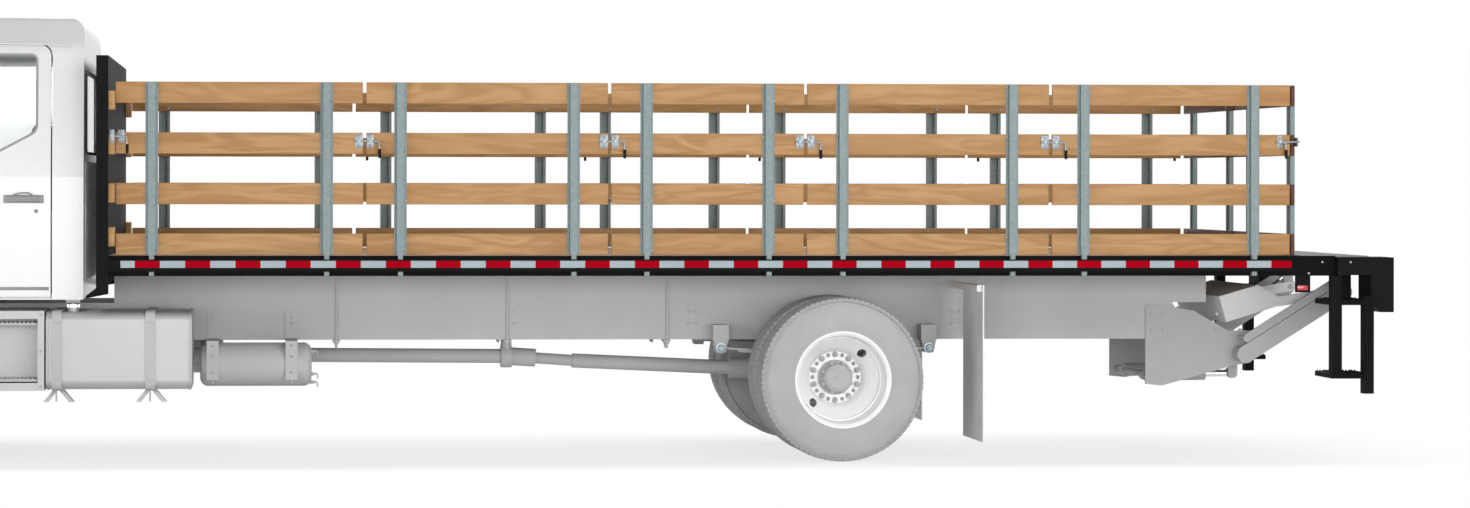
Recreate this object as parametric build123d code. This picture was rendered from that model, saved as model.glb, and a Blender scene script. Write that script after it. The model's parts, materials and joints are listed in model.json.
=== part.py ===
from build123d import *
import os
from math import atan2, cos, degrees, hypot, radians, sin

# A medium-duty truck with a bonneted cab, a long flat bed with lift-out stake racks,
# and a tuck-under lift at the tail.
# Millimetres. +X runs to the tail, +Y to the truck's right, +Z up.
# The origin is on the ground, half way along the truck.

# Along the truck
TOTAL_LENGTH = 10850
NOSE_X = -TOTAL_LENGTH / 2
TAIL_X = TOTAL_LENGTH / 2
REAR_AXLE_X = 1983
WHEELBASE = 6426
FRONT_AXLE_X = REAR_AXLE_X - WHEELBASE
BED_FRONT_X = -2521

# Fits
SEAT_GAP = 0.3
PIN_CLEARANCE = 0.1

# Wheels and tyres
TYRE_RADIUS = 508
TYRE_WIDTH = 270
TYRE_SHOULDER = 20
RIM_RADIUS = 286
RIM_FLANGE_RADIUS = 299
RIM_WIDTH = 235
RIM_LIP = 12
RIM_WELL_RADIUS = 268
RIM_GAUGE = 8
DISC_THICKNESS = 12
DISC_OFFSET = 168
DISC_FLAT_RADIUS = 172
STUD_CIRCLE_RADIUS = 142.9
STUD_COUNT = 10
STUD_HOLE_RADIUS = 13
HUB_BORE_RADIUS = 110
HAND_HOLE_RADIUS = 26
HAND_HOLE_CIRCLE = 216
HAND_HOLE_ANGLES = (45, 225)
AXLE_Z = TYRE_RADIUS
REAR_DISC_Y = 893
FRONT_DISC_Y = 1153
DRUM_RADIUS = 200
DRUM_WALL = 15
HUB_FLANGE_RADIUS = 158
HUB_FLANGE_THICKNESS = 22
DRUM_SETBACK = 92

# Steering
KINGPIN_Y = 905
KINGPIN_RADIUS = 25
KINGPIN_EYE_RADIUS = 44
KINGPIN_EYE_HEIGHT = 130
KNUCKLE_GAP = 6
KNUCKLE_EAR = 26
FRONT_SPINDLE_RADIUS = 38
STEERING_ARM = 150
STEERING_ARM_THICKNESS = 20
TIE_ROD_RADIUS = 14

# Ladder frame
FRAME_HALF_WIDTH = 425
FRAME_BOTTOM_Z = 721
FRAME_TOP_Z = 956
FRAME_FLANGE = 80
FRAME_GAUGE = 9
FRAME_FRONT_X = -5230
FRAME_REAR_X = 4390
FRAME_END_RAKE = 130
FRAME_NOSE_RISE = 60
FRAME_NOSE_RUN = 260
CROSSMEMBER_Z = (803, 913)
CROSSMEMBER_WIDTH = 70
CROSSMEMBER_GAUGE = 8
BEARING_X = -8
CROSSMEMBER_XS = (-5150, -3300, -2250, BEARING_X, 1150, 2850, 4150)

# Springs and axles
LEAF_THICKNESS = 13
LEAF_STEP = 0.17
FRONT_SPRING_Y = 385
FRONT_SPRING_WIDTH = 70
FRONT_SPRING_HALF = 560
FRONT_LEAF_COUNT = 3
FRONT_BEAM_TOP = 470
FRONT_BEAM_BOTTOM = 375
FRONT_BEAM_WIDTH = 100
REAR_SPRING_Y = 510
REAR_SPRING_WIDTH = 76
REAR_SPRING_HALF = 666
REAR_LEAF_COUNT = 5
REAR_TUBE_HALF = 62
REAR_SPINDLE_RADIUS = 55
SPRING_SEAT = 20
EYE_RADIUS = 26
U_BOLT_RADIUS = 8

# Driveline: shaft ends on the centre line as X, Z
GEARBOX_END = (-3110, 615)
BEARING_CENTRE = (BEARING_X, 593)
REAR_YOKE_END = (1560, 514)
FLANGE_RADIUS = 68
SHAFT_RADIUS = 46

# What hangs on the frame
HANGER_Z = (760, 900)
TANK_X = (-2900, -2017)
TANK_Y = (-1150, -560)
TANK_Z = (456, 927)
STRAP_XS = (-2835, -2268)
STRAP_WIDTH = 60
STRAP_GAUGE = 8
TANK_CORNER = 55
TANK_CAP = (-2742, -1000)
TANK_CAP_RADIUS = 34
TANK_CAP_TOP_Z = 954
TANK_FOOT_Z = 368
TANK_FOOT_SPLAY = 95
STEP_BOX_X = (-3640, -2910)
STEP_BOX_Y = (-1150, -640)
STEP_BOX_Z = (450, 935)
STEP_TREAD = 48
AIR_TANK_X = (-1975, -1279)
AIR_TANK_Y = -600
AIR_TANK_Z = 578
AIR_TANK_RADIUS = 136
MUFFLER_X = (-2750, -1850)
MUFFLER_Y = 650
MUFFLER_Z = 600
MUFFLER_RADIUS = 150
TAIL_PIPE_RADIUS = 50

# Bed
BED_WIDTH = 2438
HALF_BED = BED_WIDTH / 2
DECK_TOP_Z = 1272
DECK_BOARD_THICKNESS = 30
DECK_BOARD_COUNT = 14
DECK_BOARD_GAP = 3
RACK_REAR_X = 4781
SIDE_RAIL_BOTTOM_Z = 1148
SIDE_RAIL_GAUGE = 6
SIDE_RAIL_FLANGE = 55
SIDE_RAIL_REAR_X = 5070
RUB_RAIL_THICKNESS = 8
RUB_RAIL_BOTTOM_Z = 1175
RUB_RAIL_HEIGHT = 75
LONG_SILL_WIDTH = 75
LONG_SILL_GAUGE = 8
LONG_SILL_REAR_X = 4480
CROSS_SILL_DEPTH = 80
CROSS_SILL_WIDTH = 50
CROSS_SILL_GAUGE = 5
CROSS_SILL_COUNT = 19
DECK_UNDER_Z = DECK_TOP_Z - DECK_BOARD_THICKNESS
LONG_SILL_TOP_Z = DECK_UNDER_Z - CROSS_SILL_DEPTH

# Stake racks
SLAT_HEIGHT = 130
SLAT_PITCH = 308
SLAT_THICKNESS = 22
SLAT_COUNT = 4
SLAT_FIRST_Z = 1277
SECTION_GAP = 17
STAKE_WIDTH = 77
STAKE_WEB = 46
STAKE_DEPTH = 33
STAKE_GAUGE = 3
STAKE_TOP_Z = 2327
STAKE_SHOULDER_Z = 1282
STAKE_FOOT_Z = 1150
FOOT_WIDTH = 30
POCKET_WALL = 8
RACK_FRONT_X = -2479
# each side section: front end, rear end, first stake, second stake
SIDE_SECTIONS = (
    (RACK_FRONT_X, -964, -2259, -1196),
    (-964, 538, -746, 316),
    (538, 1749, 765, 1519),
    (1749, 3276, 1977, 3034),
    (3276, RACK_REAR_X, 3481, 4549),
)
REAR_STAKE_YS = (215, 1030)
REAR_RACK_HALF = 1150
REAR_RACK_GAP = 17
STAKE_OUTER_Y = HALF_BED - RUB_RAIL_THICKNESS - SEAT_GAP
SLAT_OUTER_Y = STAKE_OUTER_Y - STAKE_DEPTH
SIDE_RAIL_Y = SLAT_OUTER_Y - SEAT_GAP
REAR_SLAT_X = RACK_REAR_X + REAR_RACK_GAP
REAR_STAKE_X = REAR_SLAT_X + SLAT_THICKNESS
POCKET_BEAM_WALL = 12
POCKET_BEAM_DEPTH = 80

# Rack latches
LATCH_PLATE = 45
LATCH_GAUGE = 5
LATCH_REACH = 55
LATCH_PIN_RADIUS = 7
LATCH_HANDLE_DROP = 75

# Bulkhead behind the cab
BULKHEAD_THICKNESS = 73
BULKHEAD_TOP_Z = 2489
BULKHEAD_BOTTOM_Z = 1040
BULKHEAD_POST = 60
BULKHEAD_SHEET = 30
BULKHEAD_FOOT = 60

# Cab
CAB_GAP = 86
CAB_BACK_X = BED_FRONT_X - BULKHEAD_THICKNESS - CAB_GAP
CAB_FRONT_X = -4170
CAB_HALF_WIDTH = 1040
CAB_BOTTOM_Z = 1000
CAB_WALL = 38
CAB_WAIST_Z = 1750
CAB_EDGE_Z = 2550
CAB_TOP_Z = 2737
CAB_TUMBLEHOME = 55
CAB_ROOF_SHOULDER = 240
WINDSCREEN_FOOT_Z = 1790
WINDSCREEN_TOP_X = -3560
CAB_CORNER = 110
CAB_MOUNT_XS = (-4060, -2780)
CAB_MOUNT_WIDTH = 90
DOOR_REAR_X = -2880
DOOR_FRONT_X = -3800
DOOR_TOP_Z = 2560
DOOR_SILL = 17
DOOR_SEAM = 9
DOOR_HINGE_OUT = 10
DOOR_PIN_RADIUS = 5
DOOR_KNUCKLE_RADIUS = 8
DOOR_HINGE_ZS = (1150, 1600)
DOOR_HINGE_LEAF = 20
DOOR_PILLAR_Z = 2190
DOOR_PILLAR_TOP_X = -3600
GLASS_THICKNESS = 6
GLASS_DEPTH = 14
GLASS_FIT = 0.3

# Bonnet, wings and bumper
HOOD_GAUGE = 14
HOOD_EDGE = 110
WING_EDGE = 70
HOOD_GAP = 6
HOOD_FRONT_X = -5385
HOOD_HALF_WIDTH = 760
WING_HALF_WIDTH = 1130
WING_REAR_X = -3880
HOOD_BOTTOM_Z = 800
HOOD_REAR_BOTTOM_Z = 905
ARCH_RADIUS = 600
HOOD_PIVOT = (-5335, 830)
HOOD_PIN_RADIUS = 12
HOOD_LUG_Y = 520
HOOD_LUG_THICKNESS = 12
HOOD_FORK_GAP = 5
HOOD_FORK_THICKNESS = 10
BUMPER_DEPTH = 90
BUMPER_HALF_WIDTH = 1150
BUMPER_Z = (480, 760)
GRILLE_HALF_WIDTH = 430
GRILLE_Z = (900, 1220)
GRILLE_BAR_COUNT = 6
LAMP_Y = (800, 1070)
LAMP_Z = (960, 1110)

# Tail
TREADPLATE_FRONT_GAP = 2
TREADPLATE_REAR_X = 5282
TREADPLATE_GAUGE = 6
DOCK_BUMPER_WIDTH = 230
DOCK_BUMPER_Z = (923, 1263)
STEP_FRONT_X = (5035, 5098)
STEP_REAR_X = (5236, 5300)
STEP_DEPTH = 62
STEP_LOW_Z = 417
STEP_TREAD_DEPTH = 320
STEP_TREAD_ZS = (511, 967)
STEP_TUBE = 30

# Tail lift: pivots as X, Z
ARM_PIVOT = (4697, 628)
ARM_LENGTH = 750
ARM_STOWED_DEG = 32
ARM_Y = 560
ARM_WIDTH = 110
ARM_THICKNESS = 30
LIFT_GAP = 7
BAR_RISE = 105
BAR_WIDTH = 50
BAR_THICKNESS = 16
BAR_PIN_RADIUS = 15
TORQUE_TUBE_RADIUS = 50
TIP_PIN_RADIUS = 18
SHACKLE_WIDTH = 64
SHACKLE_THICKNESS = 16
MOUNT_PLATE = 12
LUG_LENGTH = 140
LUG_WIDTH = 60
LUG_THICKNESS = 16
CYLINDER_Y = 250
CYLINDER_BASE = (4132, 480)
CYLINDER_RADIUS = 42
CYLINDER_ROD_RADIUS = 22
CYLINDER_PIN_RADIUS = 18
CYLINDER_EYE_RADIUS = 36
CYLINDER_EYE_WIDTH = 50
CYLINDER_BARREL = 390
CYLINDER_BORE_START = 120
CYLINDER_ROD_START = 250
PLATFORM_HALF_WIDTH = 500
PLATFORM_STRAP = 20
# the folded platform's corners as X, Z
PLATFORM_CORNERS = ((4592, 830), (4544, 994), (4797, 1069), (5001, 954))

PARTS_FOLDER = "parts"


def block(x, y, z):
    """A box between a low and a high place on each axis."""
    size = [high - low for low, high in (x, y, z)]
    centre = [(high + low) / 2 for low, high in (x, y, z)]
    return Pos(*centre) * Box(*size)


def polygon(*points):
    return make_face(Polyline(*points, close=True))


def rounded(outline, radius):
    """The outline with every corner rounded."""
    return fillet(outline.vertices(), radius)


def side_view(outline, y_low, y_high):
    """A flat X-Z outline carried across the truck from y_low to y_high."""
    plane = Plane(origin=(0, y_high, 0), x_dir=(1, 0, 0), z_dir=(0, -1, 0))
    return extrude(plane * outline, amount=y_high - y_low)


def end_view(outline, x_low, x_high):
    """A flat Y-Z outline carried along the truck from x_low to x_high."""
    plane = Plane(origin=(x_low, 0, 0), x_dir=(0, 1, 0), z_dir=(1, 0, 0))
    return extrude(plane * outline, amount=x_high - x_low)


def top_view(outline, z_low, z_high):
    """A flat X-Y outline carried upwards from z_low to z_high."""
    return extrude(Pos(0, 0, z_low) * outline, amount=z_high - z_low)


def polar(centre, length, degrees_up):
    """The X-Z point at a length and an angle from a centre."""
    turn = radians(degrees_up)
    return (centre[0] + length * cos(turn), centre[1] + length * sin(turn))


def bar(start, end, width, y_low, y_high):
    """A flat round-ended bar between two X-Z points."""
    length = hypot(end[0] - start[0], end[1] - start[1])
    turn = degrees(atan2(end[1] - start[1], end[0] - start[0]))
    middle = ((start[0] + end[0]) / 2, (start[1] + end[1]) / 2)
    outline = Pos(*middle) * Rot(0, 0, turn) * SlotCenterToCenter(length, width)
    return side_view(outline, y_low, y_high)


def tube(start, end, radius, y=0):
    """A round bar between two X-Z points, in the plane at y."""
    length = hypot(end[0] - start[0], end[1] - start[1])
    turn = degrees(atan2(end[1] - start[1], end[0] - start[0]))
    middle = ((start[0] + end[0]) / 2, y, (start[1] + end[1]) / 2)
    return Pos(*middle) * Rot(0, 90 - turn, 0) * Cylinder(radius, length)


def rod_y(x, z, radius, y_low, y_high):
    """A round bar lying across the truck."""
    return Pos(x, (y_low + y_high) / 2, z) * Rot(90, 0, 0) * Cylinder(radius, y_high - y_low)


def rod_x(y, z, radius, x_low, x_high):
    """A round bar lying along the truck."""
    return Pos((x_low + x_high) / 2, y, z) * Rot(0, 90, 0) * Cylinder(radius, x_high - x_low)


def rod_z(x, y, radius, z_low, z_high):
    return Pos(x, y, (z_low + z_high) / 2) * Cylinder(radius, z_high - z_low)


def turned(x, profile):
    """A Y-radius outline turned once round the axle line at x."""
    plane = Plane(origin=(0, 0, 0), x_dir=(0, 1, 0), z_dir=(1, 0, 0))
    return Pos(x, 0, AXLE_Z) * revolve(plane * polygon(*profile), axis=Axis.Y)


def fuse(pieces):
    return pieces[0] + pieces[1:] if len(pieces) > 1 else pieces[0]


def right_hand(shape):
    """The same thing on the truck's other side."""
    return mirror(shape, about=Plane.XZ)


def both_sides(*shapes):
    return [side for shape in shapes for side in (shape, right_hand(shape))]


# Wheels


def tyre(x, y):
    """Beads on the rim seats, sidewalls that swell to the middle, and a flat tread."""
    half = TYRE_WIDTH / 2
    widest = RIM_RADIUS + 0.48 * (TYRE_RADIUS - RIM_RADIUS)
    left = [(6 - RIM_WIDTH / 2, RIM_RADIUS + SEAT_GAP), (-half, widest), (TYRE_SHOULDER - half, TYRE_RADIUS)]
    return Pos(0, y, 0) * turned(x, left + [(-across, radius) for across, radius in reversed(left)])


def wheel(x, disc_y, rim_side):
    """A pressed disc wheel. Its mounting face is at disc_y and its rim lies off it, towards rim_side."""
    s = rim_side
    mid = s * DISC_OFFSET
    half = RIM_WIDTH / 2
    well = RIM_WELL_RADIUS
    seat = RIM_RADIUS
    barrel = turned(
        x,
        [(mid - half - RIM_LIP, RIM_FLANGE_RADIUS), (mid - half, RIM_FLANGE_RADIUS), (mid - half + 4, seat),
         (mid - half + 44, seat - 2), (mid - 34, well), (mid + 34, well), (mid + half - 44, seat - 2),
         (mid + half - 4, seat), (mid + half, RIM_FLANGE_RADIUS), (mid + half + RIM_LIP, RIM_FLANGE_RADIUS),
         (mid + half + RIM_LIP, RIM_FLANGE_RADIUS - RIM_GAUGE), (mid + half - 2, seat - RIM_GAUGE - 4),
         (mid + 40, well - RIM_GAUGE), (mid - 40, well - RIM_GAUGE), (mid - half + 2, seat - RIM_GAUGE - 4),
         (mid - half - RIM_LIP, RIM_FLANGE_RADIUS - RIM_GAUGE)],
    )
    t = s * DISC_THICKNESS
    edge = well - RIM_GAUGE
    disc = turned(
        x,
        [(0, HUB_BORE_RADIUS), (0, DISC_FLAT_RADIUS), (s * 38, DISC_FLAT_RADIUS + 24), (mid - s * 52, edge - 6),
         (mid - s * 34, edge + 2), (mid + s * 6, edge + 2), (mid + s * 6, edge - 8), (mid - s * 32, edge - 10),
         (s * 44 + t, DISC_FLAT_RADIUS + 12), (t, DISC_FLAT_RADIUS - 12), (t, HUB_BORE_RADIUS)],
    )
    whole = Pos(0, disc_y, 0) * (barrel + disc)
    holes = []
    for i in range(STUD_COUNT):
        hole_x, hole_z = polar((x, AXLE_Z), STUD_CIRCLE_RADIUS, 360 / STUD_COUNT * i)
        holes.append(rod_y(hole_x, hole_z, STUD_HOLE_RADIUS, disc_y - 30, disc_y + 30))
    for angle in HAND_HOLE_ANGLES:
        hole_x, hole_z = polar((x, AXLE_Z), HAND_HOLE_CIRCLE, angle)
        holes.append(rod_y(hole_x, hole_z, HAND_HOLE_RADIUS, disc_y - DISC_OFFSET, disc_y + DISC_OFFSET))
    return whole - holes


def hub(x, disc_y, spindle_radius, cap_length, drum_length, barrel_length):
    """Left hub in one with its drum: a flange behind the disc, a pilot through it and an end cap."""
    flange = -disc_y + DISC_THICKNESS
    bore = spindle_radius + SEAT_GAP
    pilot = HUB_BORE_RADIUS - SEAT_GAP
    cap = -disc_y - cap_length
    return turned(
        x,
        [(cap, 0), (cap, pilot - 40), (cap + 12, pilot - 26), (-disc_y - 24, pilot - 14),
         (-disc_y - DISC_THICKNESS, pilot), (flange, pilot), (flange, HUB_FLANGE_RADIUS),
         (flange + HUB_FLANGE_THICKNESS, HUB_FLANGE_RADIUS), (flange + DRUM_SETBACK, DRUM_RADIUS),
         (flange + drum_length, DRUM_RADIUS), (flange + drum_length, DRUM_RADIUS - DRUM_WALL),
         (flange + DRUM_SETBACK + 8, DRUM_RADIUS - DRUM_WALL),
         (flange + HUB_FLANGE_THICKNESS + 14, spindle_radius + 40),
         (flange + barrel_length, spindle_radius + 26),
         (flange + barrel_length, bore), (cap + 30, bore), (cap + 30, 0)],
    )


def rear_wheel():
    """Twin wheels bolted back to back, left side."""
    return wheel(REAR_AXLE_X, -REAR_DISC_Y, -1) + wheel(REAR_AXLE_X, -REAR_DISC_Y, 1)


def rear_tyres():
    return [tyre(REAR_AXLE_X, -REAR_DISC_Y + side * DISC_OFFSET) for side in (-1, 1)]


# Frame, axles and springs


def ladder_frame():
    """Two channel rails, open inwards, tied by cross-members."""
    front, rear, low, high = FRAME_FRONT_X, FRAME_REAR_X, FRAME_BOTTOM_Z, FRAME_TOP_Z
    web = -FRAME_HALF_WIDTH + FRAME_GAUGE
    inner = -FRAME_HALF_WIDTH + FRAME_FLANGE
    kick = (front + FRAME_NOSE_RUN, low)
    outline = polygon((front, low + FRAME_NOSE_RISE), kick, (rear, low), (rear - FRAME_END_RAKE, high),
                      (front, high))
    hollow = polygon(
        (front - 1, low + FRAME_NOSE_RISE + FRAME_GAUGE), (kick[0], low + FRAME_GAUGE),
        (rear + 1, low + FRAME_GAUGE), (rear + 1, high - FRAME_GAUGE), (front - 1, high - FRAME_GAUGE),
    )
    rail = side_view(outline, -FRAME_HALF_WIDTH, inner) - side_view(hollow, web, inner + 1)
    pieces = both_sides(rail)
    low, high = CROSSMEMBER_Z
    for x in CROSSMEMBER_XS:
        near, far = x - CROSSMEMBER_WIDTH / 2, x + CROSSMEMBER_WIDTH / 2
        member = block((near, far), (web, -web), (low, high))
        member -= block(
            (near + CROSSMEMBER_GAUGE, far + 1), (web + FRAME_FLANGE, -web - FRAME_FLANGE),
            (low + CROSSMEMBER_GAUGE, high - CROSSMEMBER_GAUGE),
        )
        pieces.append(member)
    return fuse(pieces)


def leaf_pack(axle_x, half_length, leaf_count, seat_z, eye_z, y, width):
    """Curved leaves on the axle seat, each shorter than the one above it."""
    top = seat_z + leaf_count * LEAF_THICKNESS
    leaves = []
    for i in range(leaf_count):
        share = 1 - LEAF_STEP * i
        reach = half_length * share
        rise = (eye_z - top) * share**2
        upper, lower = top - i * LEAF_THICKNESS, top - (i + 1) * LEAF_THICKNESS
        with BuildSketch() as section:
            with BuildLine():
                ThreePointArc((axle_x - reach, upper + rise), (axle_x, upper), (axle_x + reach, upper + rise))
                Line((axle_x + reach, upper + rise), (axle_x + reach, lower + rise))
                ThreePointArc((axle_x + reach, lower + rise), (axle_x, lower), (axle_x - reach, lower + rise))
                Line((axle_x - reach, lower + rise), (axle_x - reach, upper + rise))
            make_face()
        leaves.append(side_view(section.sketch, y - width / 2, y + width / 2))
    return leaves


def axle_clamp(axle_x, y, width, half_axle, pack_top, axle_bottom):
    """Top plate, four bolt legs and the plate under the axle."""
    reach = half_axle + 2 * U_BOLT_RADIUS + 4
    out = width / 2 + U_BOLT_RADIUS + 2
    pieces = [
        block((axle_x - reach, axle_x + reach), (y - out - 8, y + out + 8), (pack_top, pack_top + 16)),
        block((axle_x - reach, axle_x + reach), (y - out - 8, y + out + 8), (axle_bottom - 16, axle_bottom)),
    ]
    for side_x in (-1, 1):
        for side_y in (-1, 1):
            leg_x = axle_x + side_x * (half_axle + U_BOLT_RADIUS + 2)
            pieces.append(rod_z(leg_x, y + side_y * out, U_BOLT_RADIUS, axle_bottom - 30, pack_top + 16))
    return pieces


def front_spring():
    """Left front spring with its hangers under the frame."""
    y, width = -FRONT_SPRING_Y, FRONT_SPRING_WIDTH
    seat_z = FRONT_BEAM_TOP
    eye_z = seat_z + 110
    pack_top = seat_z + FRONT_LEAF_COUNT * LEAF_THICKNESS
    pieces = leaf_pack(FRONT_AXLE_X, FRONT_SPRING_HALF, FRONT_LEAF_COUNT, seat_z, eye_z, y, width)
    pieces += axle_clamp(FRONT_AXLE_X, y, width, FRONT_BEAM_WIDTH / 2, pack_top, FRONT_BEAM_BOTTOM)
    for end in (-1, 1):
        eye_x = FRONT_AXLE_X + end * FRONT_SPRING_HALF
        pieces.append(rod_y(eye_x, eye_z - 6, EYE_RADIUS, y - width / 2 - 10, y + width / 2 + 10))
        cheek = polygon((eye_x - 30, eye_z - 36), (eye_x + 30, eye_z - 36), (eye_x + 60, FRAME_BOTTOM_Z),
                        (eye_x - 60, FRAME_BOTTOM_Z))
        for side in (-1, 1):
            low = y + side * (width / 2 + 5) - 5
            pieces.append(side_view(cheek, low, low + 10))
    return fuse(pieces)


def rear_spring():
    """Left rear spring with its brackets on the frame's outer face."""
    y, width = -REAR_SPRING_Y, REAR_SPRING_WIDTH
    seat_z = AXLE_Z + REAR_TUBE_HALF + SPRING_SEAT
    pack_top = seat_z + REAR_LEAF_COUNT * LEAF_THICKNESS
    eye_z = pack_top + 24
    pieces = leaf_pack(REAR_AXLE_X, REAR_SPRING_HALF, REAR_LEAF_COUNT, seat_z, eye_z, y, width)
    pieces += axle_clamp(REAR_AXLE_X, y, width, REAR_TUBE_HALF + 8, pack_top, AXLE_Z - REAR_TUBE_HALF)
    outer = y - width / 2 - 10
    for end in (-1, 1):
        eye_x = REAR_AXLE_X + end * REAR_SPRING_HALF
        pieces.append(rod_y(eye_x, eye_z - 6, EYE_RADIUS, outer, y + width / 2 + 10))
        cheek = polygon((eye_x - 30, eye_z - 36), (eye_x + 30, eye_z - 36), (eye_x + 50, eye_z + 60),
                        (eye_x + 50, eye_z + 140), (eye_x - 50, eye_z + 140), (eye_x - 50, eye_z + 60))
        pieces.append(side_view(cheek, outer, outer + 10))
        pieces.append(side_view(cheek, y + width / 2, y + width / 2 + 10))
        pieces.append(block((eye_x - 50, eye_x + 50), (outer, -FRAME_HALF_WIDTH), (eye_z + 40, eye_z + 140)))
    return fuse(pieces)


def rear_axle():
    """Housing tubes, the round middle with its rear cover, and the pinion nose."""
    half = REAR_TUBE_HALF
    whole = [
        fillet(block((REAR_AXLE_X - half, REAR_AXLE_X + half), (-760, 760), (AXLE_Z - half, AXLE_Z + half))
               .edges().filter_by(Axis.Y), 24),
        rod_x(0, AXLE_Z, 205, REAR_AXLE_X - 75, REAR_AXLE_X + 75),
        Pos(REAR_AXLE_X + 110, 0, AXLE_Z) * Rot(0, 90, 0) * Cone(190, 120, 80),
    ]
    nose_x, nose_z = REAR_YOKE_END
    nose_length = REAR_AXLE_X - 70 - nose_x
    nose = Rot(0, -90, 0) * Cone(150, FLANGE_RADIUS, nose_length)
    whole.append(Pos(nose_x + nose_length / 2, 0, nose_z) * nose)
    for side in (-1, 1):
        ends = sorted((side * 750, side * (REAR_DISC_Y + 60)))
        whole.append(rod_y(REAR_AXLE_X, AXLE_Z, REAR_SPINDLE_RADIUS, *ends))
        middle = side * REAR_SPRING_Y
        seat = REAR_SPRING_WIDTH / 2 + 6
        whole.append(block((REAR_AXLE_X - half, REAR_AXLE_X + half), (middle - seat, middle + seat),
                           (AXLE_Z + half - 30, AXLE_Z + half + SPRING_SEAT)))
    return fuse(whole)


def front_axle():
    """A dropped I-beam that rises to the kingpin eyes at its ends."""
    low, high = FRONT_BEAM_BOTTOM, FRONT_BEAM_TOP
    eye_low, eye_high = kingpin_z()[0] + 10, kingpin_z()[1] - 10
    end_y = KINGPIN_Y - 20
    outline = polygon(
        (-end_y, eye_low), (-end_y, eye_high), (-700, eye_high - 6), (-600, high), (600, high), (700, eye_high - 6),
        (end_y, eye_high), (end_y, eye_low), (690, eye_low), (600, low), (-600, low), (-690, eye_low),
    )
    half = FRONT_BEAM_WIDTH / 2
    beam = end_view(outline, FRONT_AXLE_X - half, FRONT_AXLE_X + half)
    groove = polygon((-580, low + 22), (-580, high - 22), (580, high - 22), (580, low + 22))
    for near in (-half - 1, 14):
        beam -= end_view(groove, FRONT_AXLE_X + near, FRONT_AXLE_X + near + half - 13)
    for side in (-1, 1):
        beam += rod_z(FRONT_AXLE_X, side * KINGPIN_Y, KINGPIN_EYE_RADIUS, *kingpin_z())
    for side in (-1, 1):
        beam -= rod_z(FRONT_AXLE_X, side * KINGPIN_Y, KINGPIN_RADIUS + PIN_CLEARANCE, low, high + 200)
    return beam


def kingpin_z():
    """Bottom and top of the kingpin eye."""
    middle = AXLE_Z - 13
    return middle - KINGPIN_EYE_HEIGHT / 2, middle + KINGPIN_EYE_HEIGHT / 2


def knuckle():
    """Left knuckle: two ears round the axle eye, the kingpin, the spindle and the steering arm."""
    x, y = FRONT_AXLE_X, -KINGPIN_Y
    low, high = kingpin_z()
    ear_low = (low - KNUCKLE_GAP - KNUCKLE_EAR, low - KNUCKLE_GAP)
    ear_high = (high + KNUCKLE_GAP, high + KNUCKLE_GAP + KNUCKLE_EAR)
    web_in, web_out = y - KINGPIN_EYE_RADIUS - 8, y - KINGPIN_EYE_RADIUS - 51
    pieces = [
        rod_z(x, y, KINGPIN_RADIUS, ear_low[0], ear_high[1]),
        block((x - 40, x + 40), (web_out, web_in), (ear_low[0], ear_high[1])),
        rod_y(x, AXLE_Z, FRONT_SPINDLE_RADIUS, -FRONT_DISC_Y - 20, web_out + 1),
    ]
    for ear in (ear_low, ear_high):
        pieces.append(rod_z(x, y, 40, *ear))
        pieces.append(block((x - 36, x + 36), (web_in - 1, y), ear))
    arm_low = ear_low[0]
    pieces.append(block((x, x + STEERING_ARM), (y - 24, y + 24), (arm_low, arm_low + STEERING_ARM_THICKNESS)))
    pieces.append(rod_z(x + STEERING_ARM, y, 24, arm_low, arm_low + STEERING_ARM_THICKNESS))
    return fuse(pieces)


def tie_rod():
    """The rod between the steering arms, its end pads just under them."""
    x = FRONT_AXLE_X + STEERING_ARM
    pad_top = kingpin_z()[0] - KNUCKLE_GAP - KNUCKLE_EAR - SEAT_GAP
    z = pad_top - TIE_ROD_RADIUS - 2
    pieces = [rod_y(x, z, TIE_ROD_RADIUS, -KINGPIN_Y, KINGPIN_Y)]
    for side in (-1, 1):
        pieces.append(rod_z(x, side * KINGPIN_Y, 22, z - TIE_ROD_RADIUS - 2, pad_top))
    return fuse(pieces)


# Driveline and what hangs on the frame


def engine():
    """Engine and gearbox as two plain masses, on lugs in the frame rails."""
    lug_y = FRAME_HALF_WIDTH - FRAME_GAUGE
    body = block((-4990, CAB_FRONT_X - 20), (-330, 330), (640, 1330))
    body = chamfer(body.edges().filter_by(Axis.X), 70)
    lugs = block((-4560, -4440), (-lug_y, lug_y), (800, 860))
    housing_end = (CAB_FRONT_X + 320, 740)
    tail = (GEARBOX_END[0] - 30, GEARBOX_END[1])
    length = hypot(tail[0] - housing_end[0], tail[1] - housing_end[1])
    tilt = degrees(atan2(tail[1] - housing_end[1], tail[0] - housing_end[0]))
    middle = ((housing_end[0] + tail[0]) / 2, 0, (housing_end[1] + tail[1]) / 2)
    gearbox = fuse([
        rod_x(0, 750, 215, CAB_FRONT_X - 20, housing_end[0]),
        Pos(*middle) * Rot(0, 90 - tilt, 0) * Cone(180, 90, length),
        rod_x(0, GEARBOX_END[1], FLANGE_RADIUS, tail[0] - 20, GEARBOX_END[0]),
    ])
    return [body + lugs, gearbox]


def radiator():
    front = CROSSMEMBER_XS[0] + CROSSMEMBER_WIDTH / 2
    inner = FRAME_HALF_WIDTH - FRAME_FLANGE - 5
    return block((front, front + 80), (-inner, inner), (760, 1330))


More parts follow.
